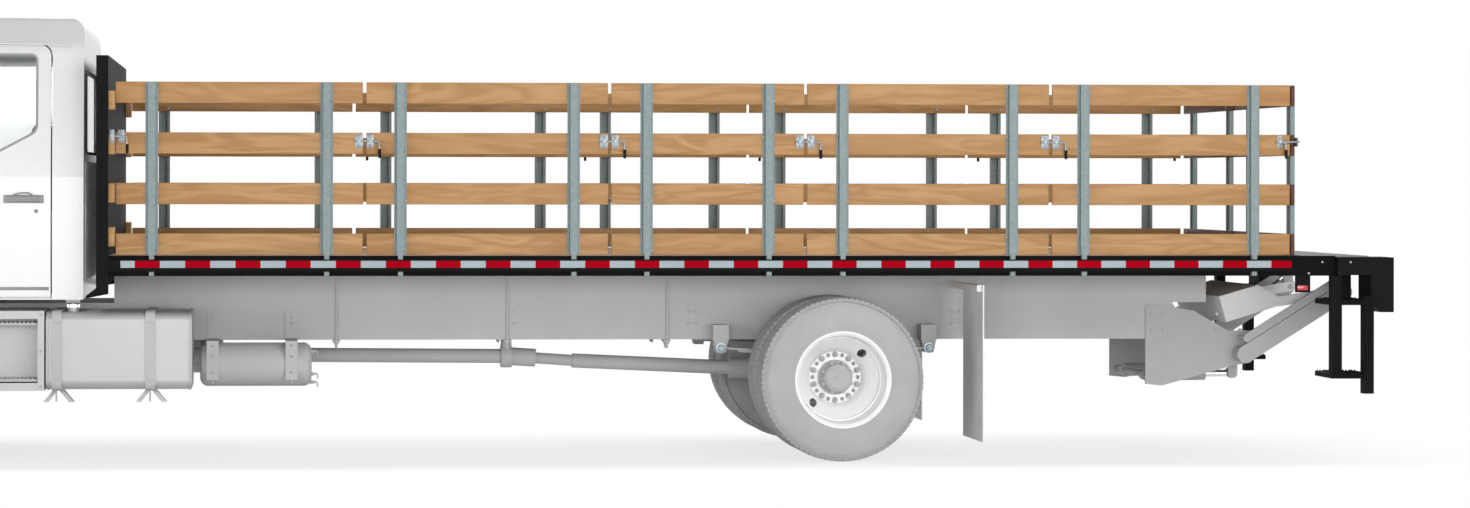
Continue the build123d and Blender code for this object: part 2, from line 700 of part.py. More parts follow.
def driveshaft():
    """Front shaft, hung centre bearing, slip yoke and rear shaft."""
    bx, bz = BEARING_CENTRE
    start, end = GEARBOX_END, REAR_YOKE_END
    slip_start, slip_end = (bx + 190, bz - 12), (bx + 440, bz - 30)
    pieces = [
        rod_x(0, start[1], FLANGE_RADIUS, start[0], start[0] + 110),
        tube((start[0] + 60, start[1]), (bx - 20, bz), SHAFT_RADIUS),
        rod_x(0, bz, 74, bx - 35, bx + 35),
        tube((bx, bz), slip_start, 58),
        tube((slip_start[0] - 10, slip_start[1]), slip_end, 36),
        tube((slip_end[0] - 10, slip_end[1]), (end[0] - 60, end[1]), SHAFT_RADIUS),
        rod_x(0, end[1], FLANGE_RADIUS, end[0] - 110, end[0]),
        block((bx - 30, bx + 30), (-70, 70), (bz + 60, CROSSMEMBER_Z[0])),
    ]
    return fuse(pieces)


def fuel_tank():
    """The rounded aluminium tank on the left, outside the frame, with its cap."""
    tank = fillet(block(TANK_X, TANK_Y, TANK_Z).edges().filter_by(Axis.X), TANK_CORNER)
    return tank + rod_z(*TANK_CAP, TANK_CAP_RADIUS, TANK_Z[1] - 1, TANK_CAP_TOP_Z)


def tank_straps():
    """Bands round the tank, with arms to the frame and two splayed feet below each."""
    y = (TANK_Y[0] - STRAP_GAUGE, TANK_Y[1] + STRAP_GAUGE)
    z = (TANK_Z[0] - STRAP_GAUGE, TANK_Z[1] + STRAP_GAUGE)
    pieces = []
    for x in STRAP_XS:
        low, high = x - STRAP_WIDTH / 2, x + STRAP_WIDTH / 2
        band = fillet(block((low, high), y, z).edges().filter_by(Axis.X), TANK_CORNER + 5)
        hole = block((low - 1, high + 1), TANK_Y, TANK_Z)
        band -= fillet(hole.edges().filter_by(Axis.X), TANK_CORNER)
        arm = block((low, high), (y[1] - 2, -FRAME_HALF_WIDTH), HANGER_Z)
        feet = []
        for side in (-1, 1):
            toe = x + side * TANK_FOOT_SPLAY
            outline = polygon((toe, TANK_FOOT_Z), (toe - side * 32, TANK_FOOT_Z), (x - side * 4, z[0] + 2),
                              (x + side * 28, z[0] + 2))
            feet.append(side_view(outline, -960, -900))
        pieces.append(fuse([band, arm] + feet))
    return pieces


def step_box():
    """The battery box under the left door, with two treads let into it."""
    box = block(STEP_BOX_X, STEP_BOX_Y, STEP_BOX_Z)
    box -= block((STEP_BOX_X[0] + 40, STEP_BOX_X[1] - 40), (STEP_BOX_Y[0] - 1, STEP_BOX_Y[0] + 190),
                 (STEP_BOX_Z[0] + STEP_TREAD, STEP_BOX_Z[1] - STEP_TREAD))
    arms = [block((x - 30, x + 30), (STEP_BOX_Y[1] - 1, -FRAME_HALF_WIDTH), HANGER_Z)
            for x in (STEP_BOX_X[0] + 90, STEP_BOX_X[1] - 90)]
    return fuse([box] + arms)


def air_tank():
    """Compressed-air tank on two hangers, left side behind the fuel tank."""
    body = fillet(rod_x(AIR_TANK_Y, AIR_TANK_Z, AIR_TANK_RADIUS, *AIR_TANK_X).edges(), 50)
    pieces = [body]
    outer = AIR_TANK_Y - AIR_TANK_RADIUS
    for x in (AIR_TANK_X[0] + 79, AIR_TANK_X[1] - 126):
        low, high = x - 38, x + 38
        pieces.append(block((low, high), (outer - 10, outer + 1), (AIR_TANK_Z - 90, FRAME_BOTTOM_Z + 10)))
        pieces.append(block((low, high), (outer - 10, -FRAME_HALF_WIDTH), (FRAME_BOTTOM_Z, FRAME_BOTTOM_Z + 10)))
        pieces.append(block((low, high), (-FRAME_HALF_WIDTH - 10, -FRAME_HALF_WIDTH),
                            (FRAME_BOTTOM_Z, HANGER_Z[1])))
    return fuse(pieces)


def muffler():
    """Exhaust box and tail pipe on the right, hung from the frame."""
    front, rear = MUFFLER_X
    body = fillet(rod_x(MUFFLER_Y, MUFFLER_Z, MUFFLER_RADIUS, front, rear).edges(), 40)
    pieces = [body, rod_x(MUFFLER_Y - 40, MUFFLER_Z, TAIL_PIPE_RADIUS, rear - 50, rear + 500)]
    low = MUFFLER_Z + MUFFLER_RADIUS - 8
    for x in (front + 150, rear - 150):
        pieces.append(block((x - 25, x + 25), (FRAME_HALF_WIDTH, MUFFLER_Y), (low, low + 38)))
        pieces.append(block((x - 25, x + 25), (FRAME_HALF_WIDTH, FRAME_HALF_WIDTH + 10), (low, HANGER_Z[1])))
    return fuse(pieces)


def mud_flap():
    """Left flap behind the rear wheels, with its bar on the bed's long sill."""
    x = REAR_AXLE_X + TYRE_RADIUS + 360
    flap = block((x, x + 8), (-1190, -640), (120, 1090))
    carrier = block((x - 30, x), (-1160, -FRAME_HALF_WIDTH), (1050, 1090))
    return flap + carrier


# Bed


def stake_places():
    return [x for section in SIDE_SECTIONS for x in section[2:]]


def side_rail():
    """Left side rail: a channel open inwards, with the pocket cheeks that hold the rub rail off it."""
    outer, inner = -SIDE_RAIL_Y, -SIDE_RAIL_Y + SIDE_RAIL_FLANGE
    rail = block((BED_FRONT_X, SIDE_RAIL_REAR_X), (outer, inner), (SIDE_RAIL_BOTTOM_Z, DECK_TOP_Z))
    rail -= block((BED_FRONT_X - 1, SIDE_RAIL_REAR_X + 1), (outer + SIDE_RAIL_GAUGE, inner + 1),
                  (SIDE_RAIL_BOTTOM_Z + SIDE_RAIL_GAUGE, DECK_TOP_Z + 1))
    inside = FOOT_WIDTH / 2 + SEAT_GAP
    cheeks = []
    for x in stake_places():
        for side in (-1, 1):
            cheek_x = sorted((x + side * inside, x + side * (inside + POCKET_WALL)))
            cheeks.append(block(cheek_x, (-HALF_BED + RUB_RAIL_THICKNESS, outer + 1),
                                (RUB_RAIL_BOTTOM_Z, RUB_RAIL_BOTTOM_Z + RUB_RAIL_HEIGHT)))
    return fuse([rail] + cheeks)


def long_sill():
    outer, inner = -FRAME_HALF_WIDTH, -FRAME_HALF_WIDTH + LONG_SILL_WIDTH
    sill = block((BED_FRONT_X, LONG_SILL_REAR_X), (outer, inner), (FRAME_TOP_Z, LONG_SILL_TOP_Z))
    sill -= block((BED_FRONT_X - 1, LONG_SILL_REAR_X + 1), (outer + LONG_SILL_GAUGE, inner + 1),
                  (FRAME_TOP_Z + LONG_SILL_GAUGE, LONG_SILL_TOP_Z - LONG_SILL_GAUGE))
    return sill


def cross_sills():
    """Channels across the bed, from one side rail's web to the other's."""
    reach = SIDE_RAIL_Y - SIDE_RAIL_GAUGE
    first = BED_FRONT_X + CROSS_SILL_WIDTH / 2
    last = SIDE_RAIL_REAR_X - CROSS_SILL_WIDTH / 2
    sills = []
    for i in range(CROSS_SILL_COUNT):
        x = first + (last - first) * i / (CROSS_SILL_COUNT - 1)
        near, far = x - CROSS_SILL_WIDTH / 2, x + CROSS_SILL_WIDTH / 2
        sill = block((near, far), (-reach, reach), (LONG_SILL_TOP_Z, DECK_UNDER_Z))
        hollow_y = reach - SIDE_RAIL_FLANGE
        sill -= block((near + CROSS_SILL_GAUGE, far + 1), (-hollow_y, hollow_y),
                      (LONG_SILL_TOP_Z + CROSS_SILL_GAUGE, DECK_UNDER_Z - CROSS_SILL_GAUGE))
        sills.append(sill)
    return sills


def pocket_beam():
    """The beam across the deck's rear end, with a pocket for each rear stake."""
    near = REAR_STAKE_X - SEAT_GAP - POCKET_BEAM_WALL
    far = REAR_STAKE_X + STAKE_DEPTH + SEAT_GAP + POCKET_BEAM_WALL
    reach = SIDE_RAIL_Y - SIDE_RAIL_GAUGE + 1
    beam = block((near, far), (-reach, reach), (DECK_TOP_Z - POCKET_BEAM_DEPTH, DECK_TOP_Z))
    inside = FOOT_WIDTH / 2 + SEAT_GAP
    for y in REAR_STAKE_YS:
        for side in (-1, 1):
            beam -= block((near + POCKET_BEAM_WALL, far - POCKET_BEAM_WALL),
                          (side * y - inside, side * y + inside), (DECK_TOP_Z - 200, DECK_TOP_Z + 1))
    return beam


def bed_frame():
    return fuse(both_sides(side_rail(), rub_rail()) + [pocket_beam()])


def bed_sills():
    """The long sills on the frame rails and the cross sills over them."""
    return fuse(both_sides(long_sill()) + cross_sills())


def rub_rail():
    return block((BED_FRONT_X, RACK_REAR_X), (-HALF_BED, -HALF_BED + RUB_RAIL_THICKNESS),
                 (RUB_RAIL_BOTTOM_Z, RUB_RAIL_BOTTOM_Z + RUB_RAIL_HEIGHT))


def deck_boards():
    """Lengthwise hardwood boards between the side rails."""
    half = SIDE_RAIL_Y - SIDE_RAIL_GAUGE - SEAT_GAP
    rear = REAR_STAKE_X - SEAT_GAP - POCKET_BEAM_WALL - SEAT_GAP
    pitch = (2 * half + DECK_BOARD_GAP) / DECK_BOARD_COUNT
    boards = []
    for i in range(DECK_BOARD_COUNT):
        low = -half + i * pitch
        boards.append(block((BED_FRONT_X, rear), (low, low + pitch - DECK_BOARD_GAP),
                            (DECK_UNDER_Z, DECK_TOP_Z)))
    return boards


# Stake racks


def slat_heights():
    return [SLAT_FIRST_Z + SLAT_PITCH * i for i in range(SLAT_COUNT)]


def side_slats():
    """Left side boards, on the stakes' inner faces, cut into sections."""
    slats = []
    for front, rear, _, _ in SIDE_SECTIONS:
        low = front if front == RACK_FRONT_X else front + SECTION_GAP / 2
        high = rear if rear == RACK_REAR_X else rear - SECTION_GAP / 2
        for z in slat_heights():
            slats.append(block((low, high), (-SLAT_OUTER_Y, -SLAT_OUTER_Y + SLAT_THICKNESS),
                               (z, z + SLAT_HEIGHT)))
    return slats


def hat_section(width, flanges):
    """A stake's section with its back on Y = 0 and its web at -STAKE_DEPTH."""
    web, depth, gauge = width / 2, STAKE_DEPTH, STAKE_GAUGE
    if not flanges:
        return polygon((-web, 0), (-web, -depth), (web, -depth), (web, 0), (web - gauge, 0),
                       (web - gauge, -depth + gauge), (-web + gauge, -depth + gauge), (-web + gauge, 0))
    brim = STAKE_WIDTH / 2
    return polygon((-brim, 0), (-brim, -gauge), (-web, -gauge), (-web, -depth), (web, -depth), (web, -gauge),
                   (brim, -gauge), (brim, 0), (web - gauge, 0), (web - gauge, -depth + gauge),
                   (-web + gauge, -depth + gauge), (-web + gauge, 0))


def stake(foot_z):
    """A pressed steel stake: a hat section with a narrower foot for its pocket."""
    body = top_view(hat_section(STAKE_WEB, True), STAKE_SHOULDER_Z, STAKE_TOP_Z)
    waist = top_view(hat_section(STAKE_WEB, False), STAKE_SHOULDER_Z - STAKE_GAUGE, STAKE_SHOULDER_Z)
    foot = top_view(hat_section(FOOT_WIDTH, False), foot_z, STAKE_SHOULDER_Z)
    shoulder = top_view(polygon((-STAKE_WEB / 2, -STAKE_DEPTH), (STAKE_WEB / 2, -STAKE_DEPTH),
                                (STAKE_WEB / 2, -STAKE_DEPTH + STAKE_GAUGE),
                                (-STAKE_WEB / 2, -STAKE_DEPTH + STAKE_GAUGE)),
                        STAKE_SHOULDER_Z - STAKE_GAUGE, STAKE_SHOULDER_Z)
    return fuse([body, waist, foot, shoulder])


def side_stakes():
    pattern = stake(STAKE_FOOT_Z)
    return [Pos(x, -SLAT_OUTER_Y, 0) * pattern for x in stake_places()]


def rear_slats():
    slats = []
    for low, high in ((-REAR_RACK_HALF, -SECTION_GAP / 2), (SECTION_GAP / 2, REAR_RACK_HALF)):
        for z in slat_heights():
            slats.append(block((REAR_SLAT_X, REAR_STAKE_X), (low, high), (z, z + SLAT_HEIGHT)))
    return slats


def rear_stakes():
    pattern = Rot(0, 0, 90) * stake(DECK_TOP_Z - POCKET_BEAM_DEPTH)
    return [Pos(REAR_STAKE_X, side * y, 0) * pattern for y in REAR_STAKE_YS for side in (-1, 1)]


def rack_latch(x):
    """A pin latch across a joint in the left rack: two plates, the pin and its hanging handle."""
    z = slat_heights()[2] + SLAT_HEIGHT / 2
    face = -SLAT_OUTER_Y
    half = LATCH_PLATE / 2
    pin_y = face - LATCH_GAUGE - LATCH_PIN_RADIUS
    front = (x - LATCH_REACH, x - LATCH_REACH + LATCH_PLATE)
    rear = (x + SECTION_GAP / 2 + 1, x + SECTION_GAP / 2 + 1 + LATCH_REACH)
    pieces = [
        block(front, (face - LATCH_GAUGE, face), (z - half, z + half)),
        block(rear, (face - LATCH_GAUGE, face), (z - half, z + half)),
        rod_x(pin_y + 1, z, LATCH_PIN_RADIUS, front[0] + 15, rear[1]),
        rod_z(rear[1] - LATCH_PIN_RADIUS, pin_y, LATCH_PIN_RADIUS, z - LATCH_HANDLE_DROP, z),
    ]
    return fuse(pieces)


def rack_latches():
    joints = [section[1] for section in SIDE_SECTIONS[:-1]]
    return [rack_latch(x) for x in joints]


# Bulkhead


def bulkhead():
    """Sheet-steel headboard in a folded frame, its lower edge turned forward under the cab's back."""
    front, rear = BED_FRONT_X - BULKHEAD_THICKNESS, BED_FRONT_X
    low, high = BULKHEAD_BOTTOM_Z, BULKHEAD_TOP_Z
    post = block((front, rear), (-HALF_BED, -HALF_BED + BULKHEAD_POST), (low, high))
    foot = side_view(polygon((front - BULKHEAD_FOOT, low - 26), (front - BULKHEAD_FOOT, low - 10),
                             (front + 30, low + 60), (rear, low + 60), (rear, low)),
                     -HALF_BED, -HALF_BED + BULKHEAD_POST)
    sheet = block((rear - BULKHEAD_SHEET, rear), (-HALF_BED + 1, HALF_BED - 1), (SIDE_RAIL_BOTTOM_Z, high))
    head = block((front, rear), (-HALF_BED, HALF_BED), (high - BULKHEAD_POST, high))
    sill = block((front, rear), (-HALF_BED, HALF_BED), (low + 60, SIDE_RAIL_BOTTOM_Z + 10))
    return fuse(both_sides(post, foot) + [sheet, head, sill])


# Cab


def cab_side(inset):
    """The cab's outline seen from the side, drawn in by inset."""
    back, front = CAB_BACK_X - inset, CAB_FRONT_X + inset
    low, high = CAB_BOTTOM_Z + inset, CAB_TOP_Z - inset
    outline = polygon((back, low), (back, high), (WINDSCREEN_TOP_X + inset / 2, high),
                      (front, WINDSCREEN_FOOT_Z), (front, low))
    return fillet(outline.vertices().sort_by(Axis.Y)[-2:], CAB_CORNER - inset)


def cab_end(inset):
    """The cab's outline seen from the front: upright to the waist, leaning in, then the roof's shoulder."""
    half = CAB_HALF_WIDTH - inset
    lean, shoulder = half - CAB_TUMBLEHOME, half - CAB_ROOF_SHOULDER
    low, high = CAB_BOTTOM_Z + inset, CAB_TOP_Z - inset
    outline = polygon((-half, low), (-half, CAB_WAIST_Z), (-lean, CAB_EDGE_Z), (-shoulder, high),
                      (shoulder, high), (lean, CAB_EDGE_Z), (half, CAB_WAIST_Z), (half, low))
    return fillet(outline.vertices().sort_by(Axis.Y)[-4:], CAB_CORNER - inset)


def cab_form(inset):
    margin = 100
    return (side_view(cab_side(inset), -CAB_HALF_WIDTH - margin, CAB_HALF_WIDTH + margin)
            & end_view(cab_end(inset), CAB_FRONT_X - margin, CAB_BACK_X + margin))


def left_only(outline):
    """A side-view outline carried through the left side wall alone."""
    return side_view(outline, -CAB_HALF_WIDTH - 200, -CAB_HALF_WIDTH + 180)


def door_outline(grow):
    front, rear = DOOR_FRONT_X - grow, DOOR_REAR_X + grow
    low, high = CAB_BOTTOM_Z + DOOR_SILL - grow, DOOR_TOP_Z + grow
    outline = polygon((front, low), (rear, low), (rear, high), (DOOR_PILLAR_TOP_X - grow, high),
                      (front, DOOR_PILLAR_Z + grow))
    return fillet(outline.vertices().sort_by(Axis.Y)[-2:], 70 + grow)


def door_space(grow):
    """Where the left door goes through the side wall: its floor line stops at the wall's inner face."""
    y = -CAB_HALF_WIDTH + CAB_WALL + grow
    floor = block((CAB_FRONT_X, CAB_BACK_X), (y, y + 300), (CAB_BOTTOM_Z - 1, CAB_BOTTOM_Z + CAB_WALL))
    return left_only(door_outline(grow)) - floor


def window_outline(shrink):
    """The door window: upright behind, dipping towards the front, its corners rounded."""
    rear, top = DOOR_REAR_X - 85 - shrink, DOOR_TOP_Z - 60 - shrink
    front = DOOR_FRONT_X + 65 + shrink
    return fillet(
        polygon((rear, 2030 + shrink), (rear, top), (DOOR_PILLAR_TOP_X + 20 + shrink, top),
                (front, DOOR_PILLAR_Z - 20), (front, 1680 + shrink), (front + 260, 1760 + shrink),
                (rear - 130, 1960 + shrink)).vertices(), 40)


def screen_outline(shrink):
    """The windscreen's outline on the front."""
    foot, top = 880 - shrink, 800 - shrink
    low, high = WINDSCREEN_FOOT_Z + 70 + shrink, CAB_EDGE_Z - 10 - shrink
    return rounded(polygon((-foot, low), (-top, high), (top, high), (foot, low)), 60)


def back_window_outline(shrink):
    half, low, high = 700 - shrink, 1900 + shrink, 2409 - shrink
    return rounded(polygon((-half, low), (-half, high), (half, high), (half, low)), 50)


def through_front(outline):
    return end_view(outline, CAB_FRONT_X - 100, WINDSCREEN_TOP_X + 200)


def through_back(outline):
    return end_view(outline, CAB_BACK_X - 100, CAB_BACK_X + 100)


def cab_wall():
    return cab_form(0) - cab_form(CAB_WALL)


def hinge_line():
    """Where the left door's pins stand, in the middle of the front seam, outside the skin."""
    return DOOR_FRONT_X - DOOR_SEAM / 2, -CAB_HALF_WIDTH - DOOR_HINGE_OUT


def hinge_knuckle(side, z_low, z_high):
    """One knuckle with its leaf, towards the pillar (side -1) or the door (side 1)."""
    x, y = hinge_line()
    leaf_x = sorted((x, x + side * 38))
    leaf = block(leaf_x, (y - DOOR_KNUCKLE_RADIUS, y), (z_low, z_high))
    foot_x = sorted((x + side * 14, x + side * 38))
    foot = block(foot_x, (y - 1, -CAB_HALF_WIDTH + 1), (z_low, z_high))
    return leaf + foot + rod_z(x, y, DOOR_KNUCKLE_RADIUS, z_low, z_high)


def pillar_hinges():
    """The pillar's knuckles and the pins."""
    pieces = []
    for z in DOOR_HINGE_ZS:
        outer, inner = DOOR_HINGE_LEAF * 1.5, DOOR_HINGE_LEAF / 2
        pieces += [hinge_knuckle(-1, z + inner, z + outer), hinge_knuckle(-1, z - outer, z - inner)]
        pieces.append(rod_z(*hinge_line(), DOOR_PIN_RADIUS, z - outer, z + outer))
    return pieces


def door_hinges():
    """The door's knuckles, each between two of the pillar's."""
    half = DOOR_HINGE_LEAF / 2 - SEAT_GAP
    return [hinge_knuckle(1, z - half, z + half) for z in DOOR_HINGE_ZS]


def pin_holes():
    radius = DOOR_PIN_RADIUS + PIN_CLEARANCE
    return [rod_z(*hinge_line(), radius, z - DOOR_HINGE_LEAF, z + DOOR_HINGE_LEAF) for z in DOOR_HINGE_ZS]


def cab_shell(wall):
    """Roof, walls and floor in one skin, with the door hinges' pins and four mounts on the frame."""
    hole = door_space(DOOR_SEAM)
    shell = wall - [hole, right_hand(hole), through_front(screen_outline(0)),
                    through_back(back_window_outline(0))]
    half = CAB_MOUNT_WIDTH / 2
    mounts = [block((x - half, x + half), (-FRAME_HALF_WIDTH, -FRAME_HALF_WIDTH + FRAME_FLANGE),
                    (FRAME_TOP_Z, CAB_BOTTOM_Z + 1)) for x in CAB_MOUNT_XS]
    return shell + both_sides(*mounts, *pillar_hinges())


def door(wall):
    """Left door: the piece of the cab's wall inside its seam, with its window and pull handle."""
    panel = (wall & door_space(0)) - left_only(window_outline(0))
    y = -CAB_HALF_WIDTH
    rear = DOOR_REAR_X - 52
    handle = block((rear - 219, rear), (y - 30, y - 16), (1603, 1627))
    posts = [block((x - 14, x + 14), (y - 17, y + 1), (1603, 1627)) for x in (rear - 200, rear - 20)]
    return fuse([panel, handle] + posts + door_hinges()) - pin_holes()


def pane():
    return cab_form(GLASS_DEPTH) - cab_form(GLASS_DEPTH + GLASS_THICKNESS)


def mirror_head():
    """Left mirror: the head and its two arms, ending on the door's skin."""
    x = DOOR_FRONT_X
    head = block((x - 50, x + 10), (-1370, -1180), (1780, 2180))
    head = fillet(head.edges(), 20)
    arms = [block((x, x + 40), (-1200, -900), (z, z + 22)) for z in (1830, 2100)]
    return fuse([head] + arms) - cab_form(0)


def seats():
    """The driver's seat and a wider passenger seat."""
    pieces = []
    floor = CAB_BOTTOM_Z + CAB_WALL
    # middle, half width
    for y, half in ((-540, 260), (430, 400)):
        base = block((-3560, -3060), (y - half, y + half), (1340, 1480))
        outline = polygon((-3120, 1470), (-2960, 1470), (-2860, 2130), (-2980, 2130))
        back = side_view(outline, y - half, y + half)
        plinth = block((-3500, -3120), (y - half + 60, y + half - 60), (floor, 1341))
        pieces.append(fuse([base, back, plinth]))
    return pieces


def dashboard():
    front = CAB_FRONT_X + CAB_WALL
    outline = polygon((front, 1480), (front, 1770), (-3950, 1760), (-3790, 1650), (-3820, 1480))
    reach = CAB_HALF_WIDTH - CAB_WALL - 40
    return side_view(outline, -reach, reach)


def steering_wheel(dash):
    middle = (-3640, 1700)
    lean = 40
    turn = Pos(middle[0], -540, middle[1]) * Rot(0, lean, 0)
    pieces = [turn * Torus(215, 16), turn * Cylinder(55, 30), turn * Box(30, 420, 14)]
    column = tube(middle, polar(middle, 330, -90 - lean), 26, -540) - dash
    return fuse(pieces + [column.solids().sort_by(Axis.X)[-1]])


# Bonnet, wings and bumper


def hood_form(inset):
    rear = CAB_FRONT_X - HOOD_GAP
    front = HOOD_FRONT_X + inset
    bonnet = polygon((rear + inset, 700), (rear + inset, 1765 - inset), (-4500, 1700 - inset),
                     (-5200, 1430 - inset), (front + 25, 1270 - inset), (front, 1100), (front, 700))
    wing_rear = WING_REAR_X - inset
    wing = polygon((wing_rear, 700), (wing_rear, 1270 - inset), (WING_REAR_X - 90, 1390 - inset),
                   (FRONT_AXLE_X - 60, 1420 - inset), (-5080, 1330 - inset), (front + 45, 1150 - inset),
                   (front, 1000), (front, 700))
    bonnet = side_view(bonnet, -HOOD_HALF_WIDTH + inset, HOOD_HALF_WIDTH - inset)
    wing = side_view(wing, -WING_HALF_WIDTH + inset, WING_HALF_WIDTH - inset)
    return soft_edges(bonnet, HOOD_EDGE - inset) + soft_edges(wing, WING_EDGE - inset)


def soft_edges(shape, radius):
    """The prism with the edges round its two sides' tops and fronts rounded."""
    low, rear = shape.bounding_box().min.Z, shape.bounding_box().max.X
    edges = [edge for edge in shape.edges().filter_by(lambda edge: abs((edge @ 0).Y - (edge @ 1).Y) < 1)
             if (edge @ 0.5).Z > low + 1 and (edge @ 0.5).X < rear - 1]
    return fillet(edges, radius)


def hood_openings():
    """Grille and headlamp openings in the front."""
    return [front_opening((-GRILLE_HALF_WIDTH, GRILLE_HALF_WIDTH), GRILLE_Z)] + both_sides(
        front_opening((-LAMP_Y[1], -LAMP_Y[0]), LAMP_Z))


def front_opening(y, z):
    return block((HOOD_FRONT_X - 50, HOOD_FRONT_X + 60), y, z)


def hood():
    """Bonnet and wings in one, hinged at the front on two lugs."""
    shell = hood_form(0) - hood_form(HOOD_GAUGE)
    far = 200
    cab_space = block((CAB_FRONT_X - HOOD_GAP, WING_REAR_X + far),
                      (-CAB_HALF_WIDTH - HOOD_GAP, CAB_HALF_WIDTH + HOOD_GAP), (600, 2000))
    under_front = block((HOOD_FRONT_X - far, WING_REAR_X + far), (-1500, 1500), (600, HOOD_BOTTOM_Z))
    under_rear = block((FRONT_AXLE_X, WING_REAR_X + far), (-1500, 1500), (600, HOOD_REAR_BOTTOM_Z))
    inner_arch = HOOD_HALF_WIDTH - 200
    arches = both_sides(rod_y(FRONT_AXLE_X, AXLE_Z, ARCH_RADIUS, -WING_HALF_WIDTH - 50, -inner_arch))
    shell = shell - [cab_space, under_front, under_rear] - arches - hood_openings()
    x, z = HOOD_PIVOT
    lug = polygon((HOOD_FRONT_X + 2, z + 8), (HOOD_FRONT_X + 2, z + 70), (x + 30, z + 30), (x + 30, z - 14),
                  (x - 16, z - 22))
    lug = side_view(lug, -HOOD_LUG_Y - HOOD_LUG_THICKNESS, -HOOD_LUG_Y)
    lug -= rod_y(x, z, HOOD_PIN_RADIUS + PIN_CLEARANCE, -HOOD_LUG_Y - 100, -HOOD_LUG_Y + 100)
    shell = fuse([shell.solids().sort_by(SortBy.VOLUME)[-1]] + both_sides(lug))
    # the front wall swings down past the forks, through two slots each side
    slots = [block((HOOD_FRONT_X - 1, HOOD_FRONT_X + HOOD_GAUGE + 1), (low - HOOD_FORK_GAP, high + HOOD_FORK_GAP),
                   (HOOD_BOTTOM_Z - 1, z + 25)) for low, high in fork_places()]
    return shell - both_sides(*slots)


def fork_places():
    """The faces of the left hinge's two fork plates, either side of the bonnet's lug."""
    outer = -HOOD_LUG_Y - HOOD_LUG_THICKNESS - HOOD_FORK_GAP
    inner = -HOOD_LUG_Y + HOOD_FORK_GAP
    return (outer - HOOD_FORK_THICKNESS, outer), (inner, inner + HOOD_FORK_THICKNESS)


def grille():
    """Level bars in the front opening, joined by three uprights."""
    low, high = GRILLE_Z
    fit = SEAT_GAP
    x = (HOOD_FRONT_X + 4, HOOD_FRONT_X + 26)
    pitch = (high - low) / GRILLE_BAR_COUNT
    half = GRILLE_HALF_WIDTH - fit
    pieces = []
    for i in range(GRILLE_BAR_COUNT):
        middle = low + pitch * (i + 0.5)
        pieces.append(block(x, (-half, half), (middle - 13, middle + 13)))
    for y in (-half + 9, 0, half - 9):
        pieces.append(block((x[0] + 8, x[1]), (y - 9, y + 9), (low + fit, high - fit)))
    return fuse(pieces)


def headlamp():
    fit = SEAT_GAP
    return block((HOOD_FRONT_X + 6, HOOD_FRONT_X + 90), (-LAMP_Y[1] + fit, -LAMP_Y[0] - fit),
                 (LAMP_Z[0] + fit, LAMP_Z[1] - fit))


def front_bumper():
    """Bumper bar with turned ends, its brackets on the frame and the bonnet's hinge forks."""
    low, high = BUMPER_Z
    back = NOSE_X + BUMPER_DEPTH
    face = block((NOSE_X, back), (-BUMPER_HALF_WIDTH, BUMPER_HALF_WIDTH), BUMPER_Z)
    face = fillet(face.edges().filter_by(Axis.Y).sort_by(Axis.X)[:2], 30)
    wrap = block((back - 1, back + 240), (-BUMPER_HALF_WIDTH, -BUMPER_HALF_WIDTH + 30), BUMPER_Z)
    rail_y = (-FRAME_HALF_WIDTH, -FRAME_HALF_WIDTH + FRAME_FLANGE)
    bracket = block((back - 1, FRAME_FRONT_X), rail_y, (high - 80, high))
    bracket += block((FRAME_FRONT_X - 20, FRAME_FRONT_X), rail_y, (high - 80, FRAME_TOP_Z - 40))
    x, z = HOOD_PIVOT
    fork = polygon((back - 1, high - 60), (back + 60, high - 60), (x + 18, z + 16), (x - 18, z + 16),
                   (x - 18, high - 1))
    outer, inner = fork_places()
    forks = [side_view(fork, *outer), side_view(fork, *inner)]
    pin = rod_y(x, z, HOOD_PIN_RADIUS, outer[0], inner[1])
    return fuse([face] + both_sides(wrap, bracket, pin, *forks))


# Tail


def treadplate():
    """The steel plate behind the deck, its edges turned down on to the sills."""
    front = REAR_STAKE_X + STAKE_DEPTH + SEAT_GAP + POCKET_BEAM_WALL + TREADPLATE_FRONT_GAP
    reach = SIDE_RAIL_Y - SIDE_RAIL_GAUGE - SEAT_GAP
    plate = block((front, TREADPLATE_REAR_X), (-reach, reach), (DECK_UNDER_Z, DECK_TOP_Z))
    plate -= block((front + TREADPLATE_GAUGE, TREADPLATE_REAR_X - TREADPLATE_GAUGE),
                   (-reach + TREADPLATE_GAUGE, reach - TREADPLATE_GAUGE),
                   (DECK_UNDER_Z - 1, DECK_TOP_Z - TREADPLATE_GAUGE))
    return plate


def step_ladder():
    """Left step: two posts under the side plate and dock bumper, joined by two framed treads."""
    outer = -HALF_BED + 1
    inner, tread_in = outer + STEP_DEPTH, outer + STEP_TREAD_DEPTH
    pieces = [
        block(STEP_FRONT_X, (outer, inner), (STEP_TREAD_ZS[0], SIDE_RAIL_BOTTOM_Z)),
        block((SIDE_RAIL_REAR_X, STEP_FRONT_X[1]), (outer, inner),
              (SIDE_RAIL_BOTTOM_Z - 1, SIDE_RAIL_BOTTOM_Z + 20)),
        block(STEP_REAR_X, (outer, inner), (STEP_LOW_Z, DOCK_BUMPER_Z[0] + 100)),
    ]
    for z in STEP_TREAD_ZS:
        tread = block((STEP_FRONT_X[0], STEP_REAR_X[1]), (outer, tread_in), (z, z + STEP_TUBE))
        tread -= block((STEP_FRONT_X[1], STEP_REAR_X[0]), (outer + STEP_TUBE, tread_in - STEP_TUBE),
                       (z - 1, z + 99))
        pieces.append(tread)
    return pieces


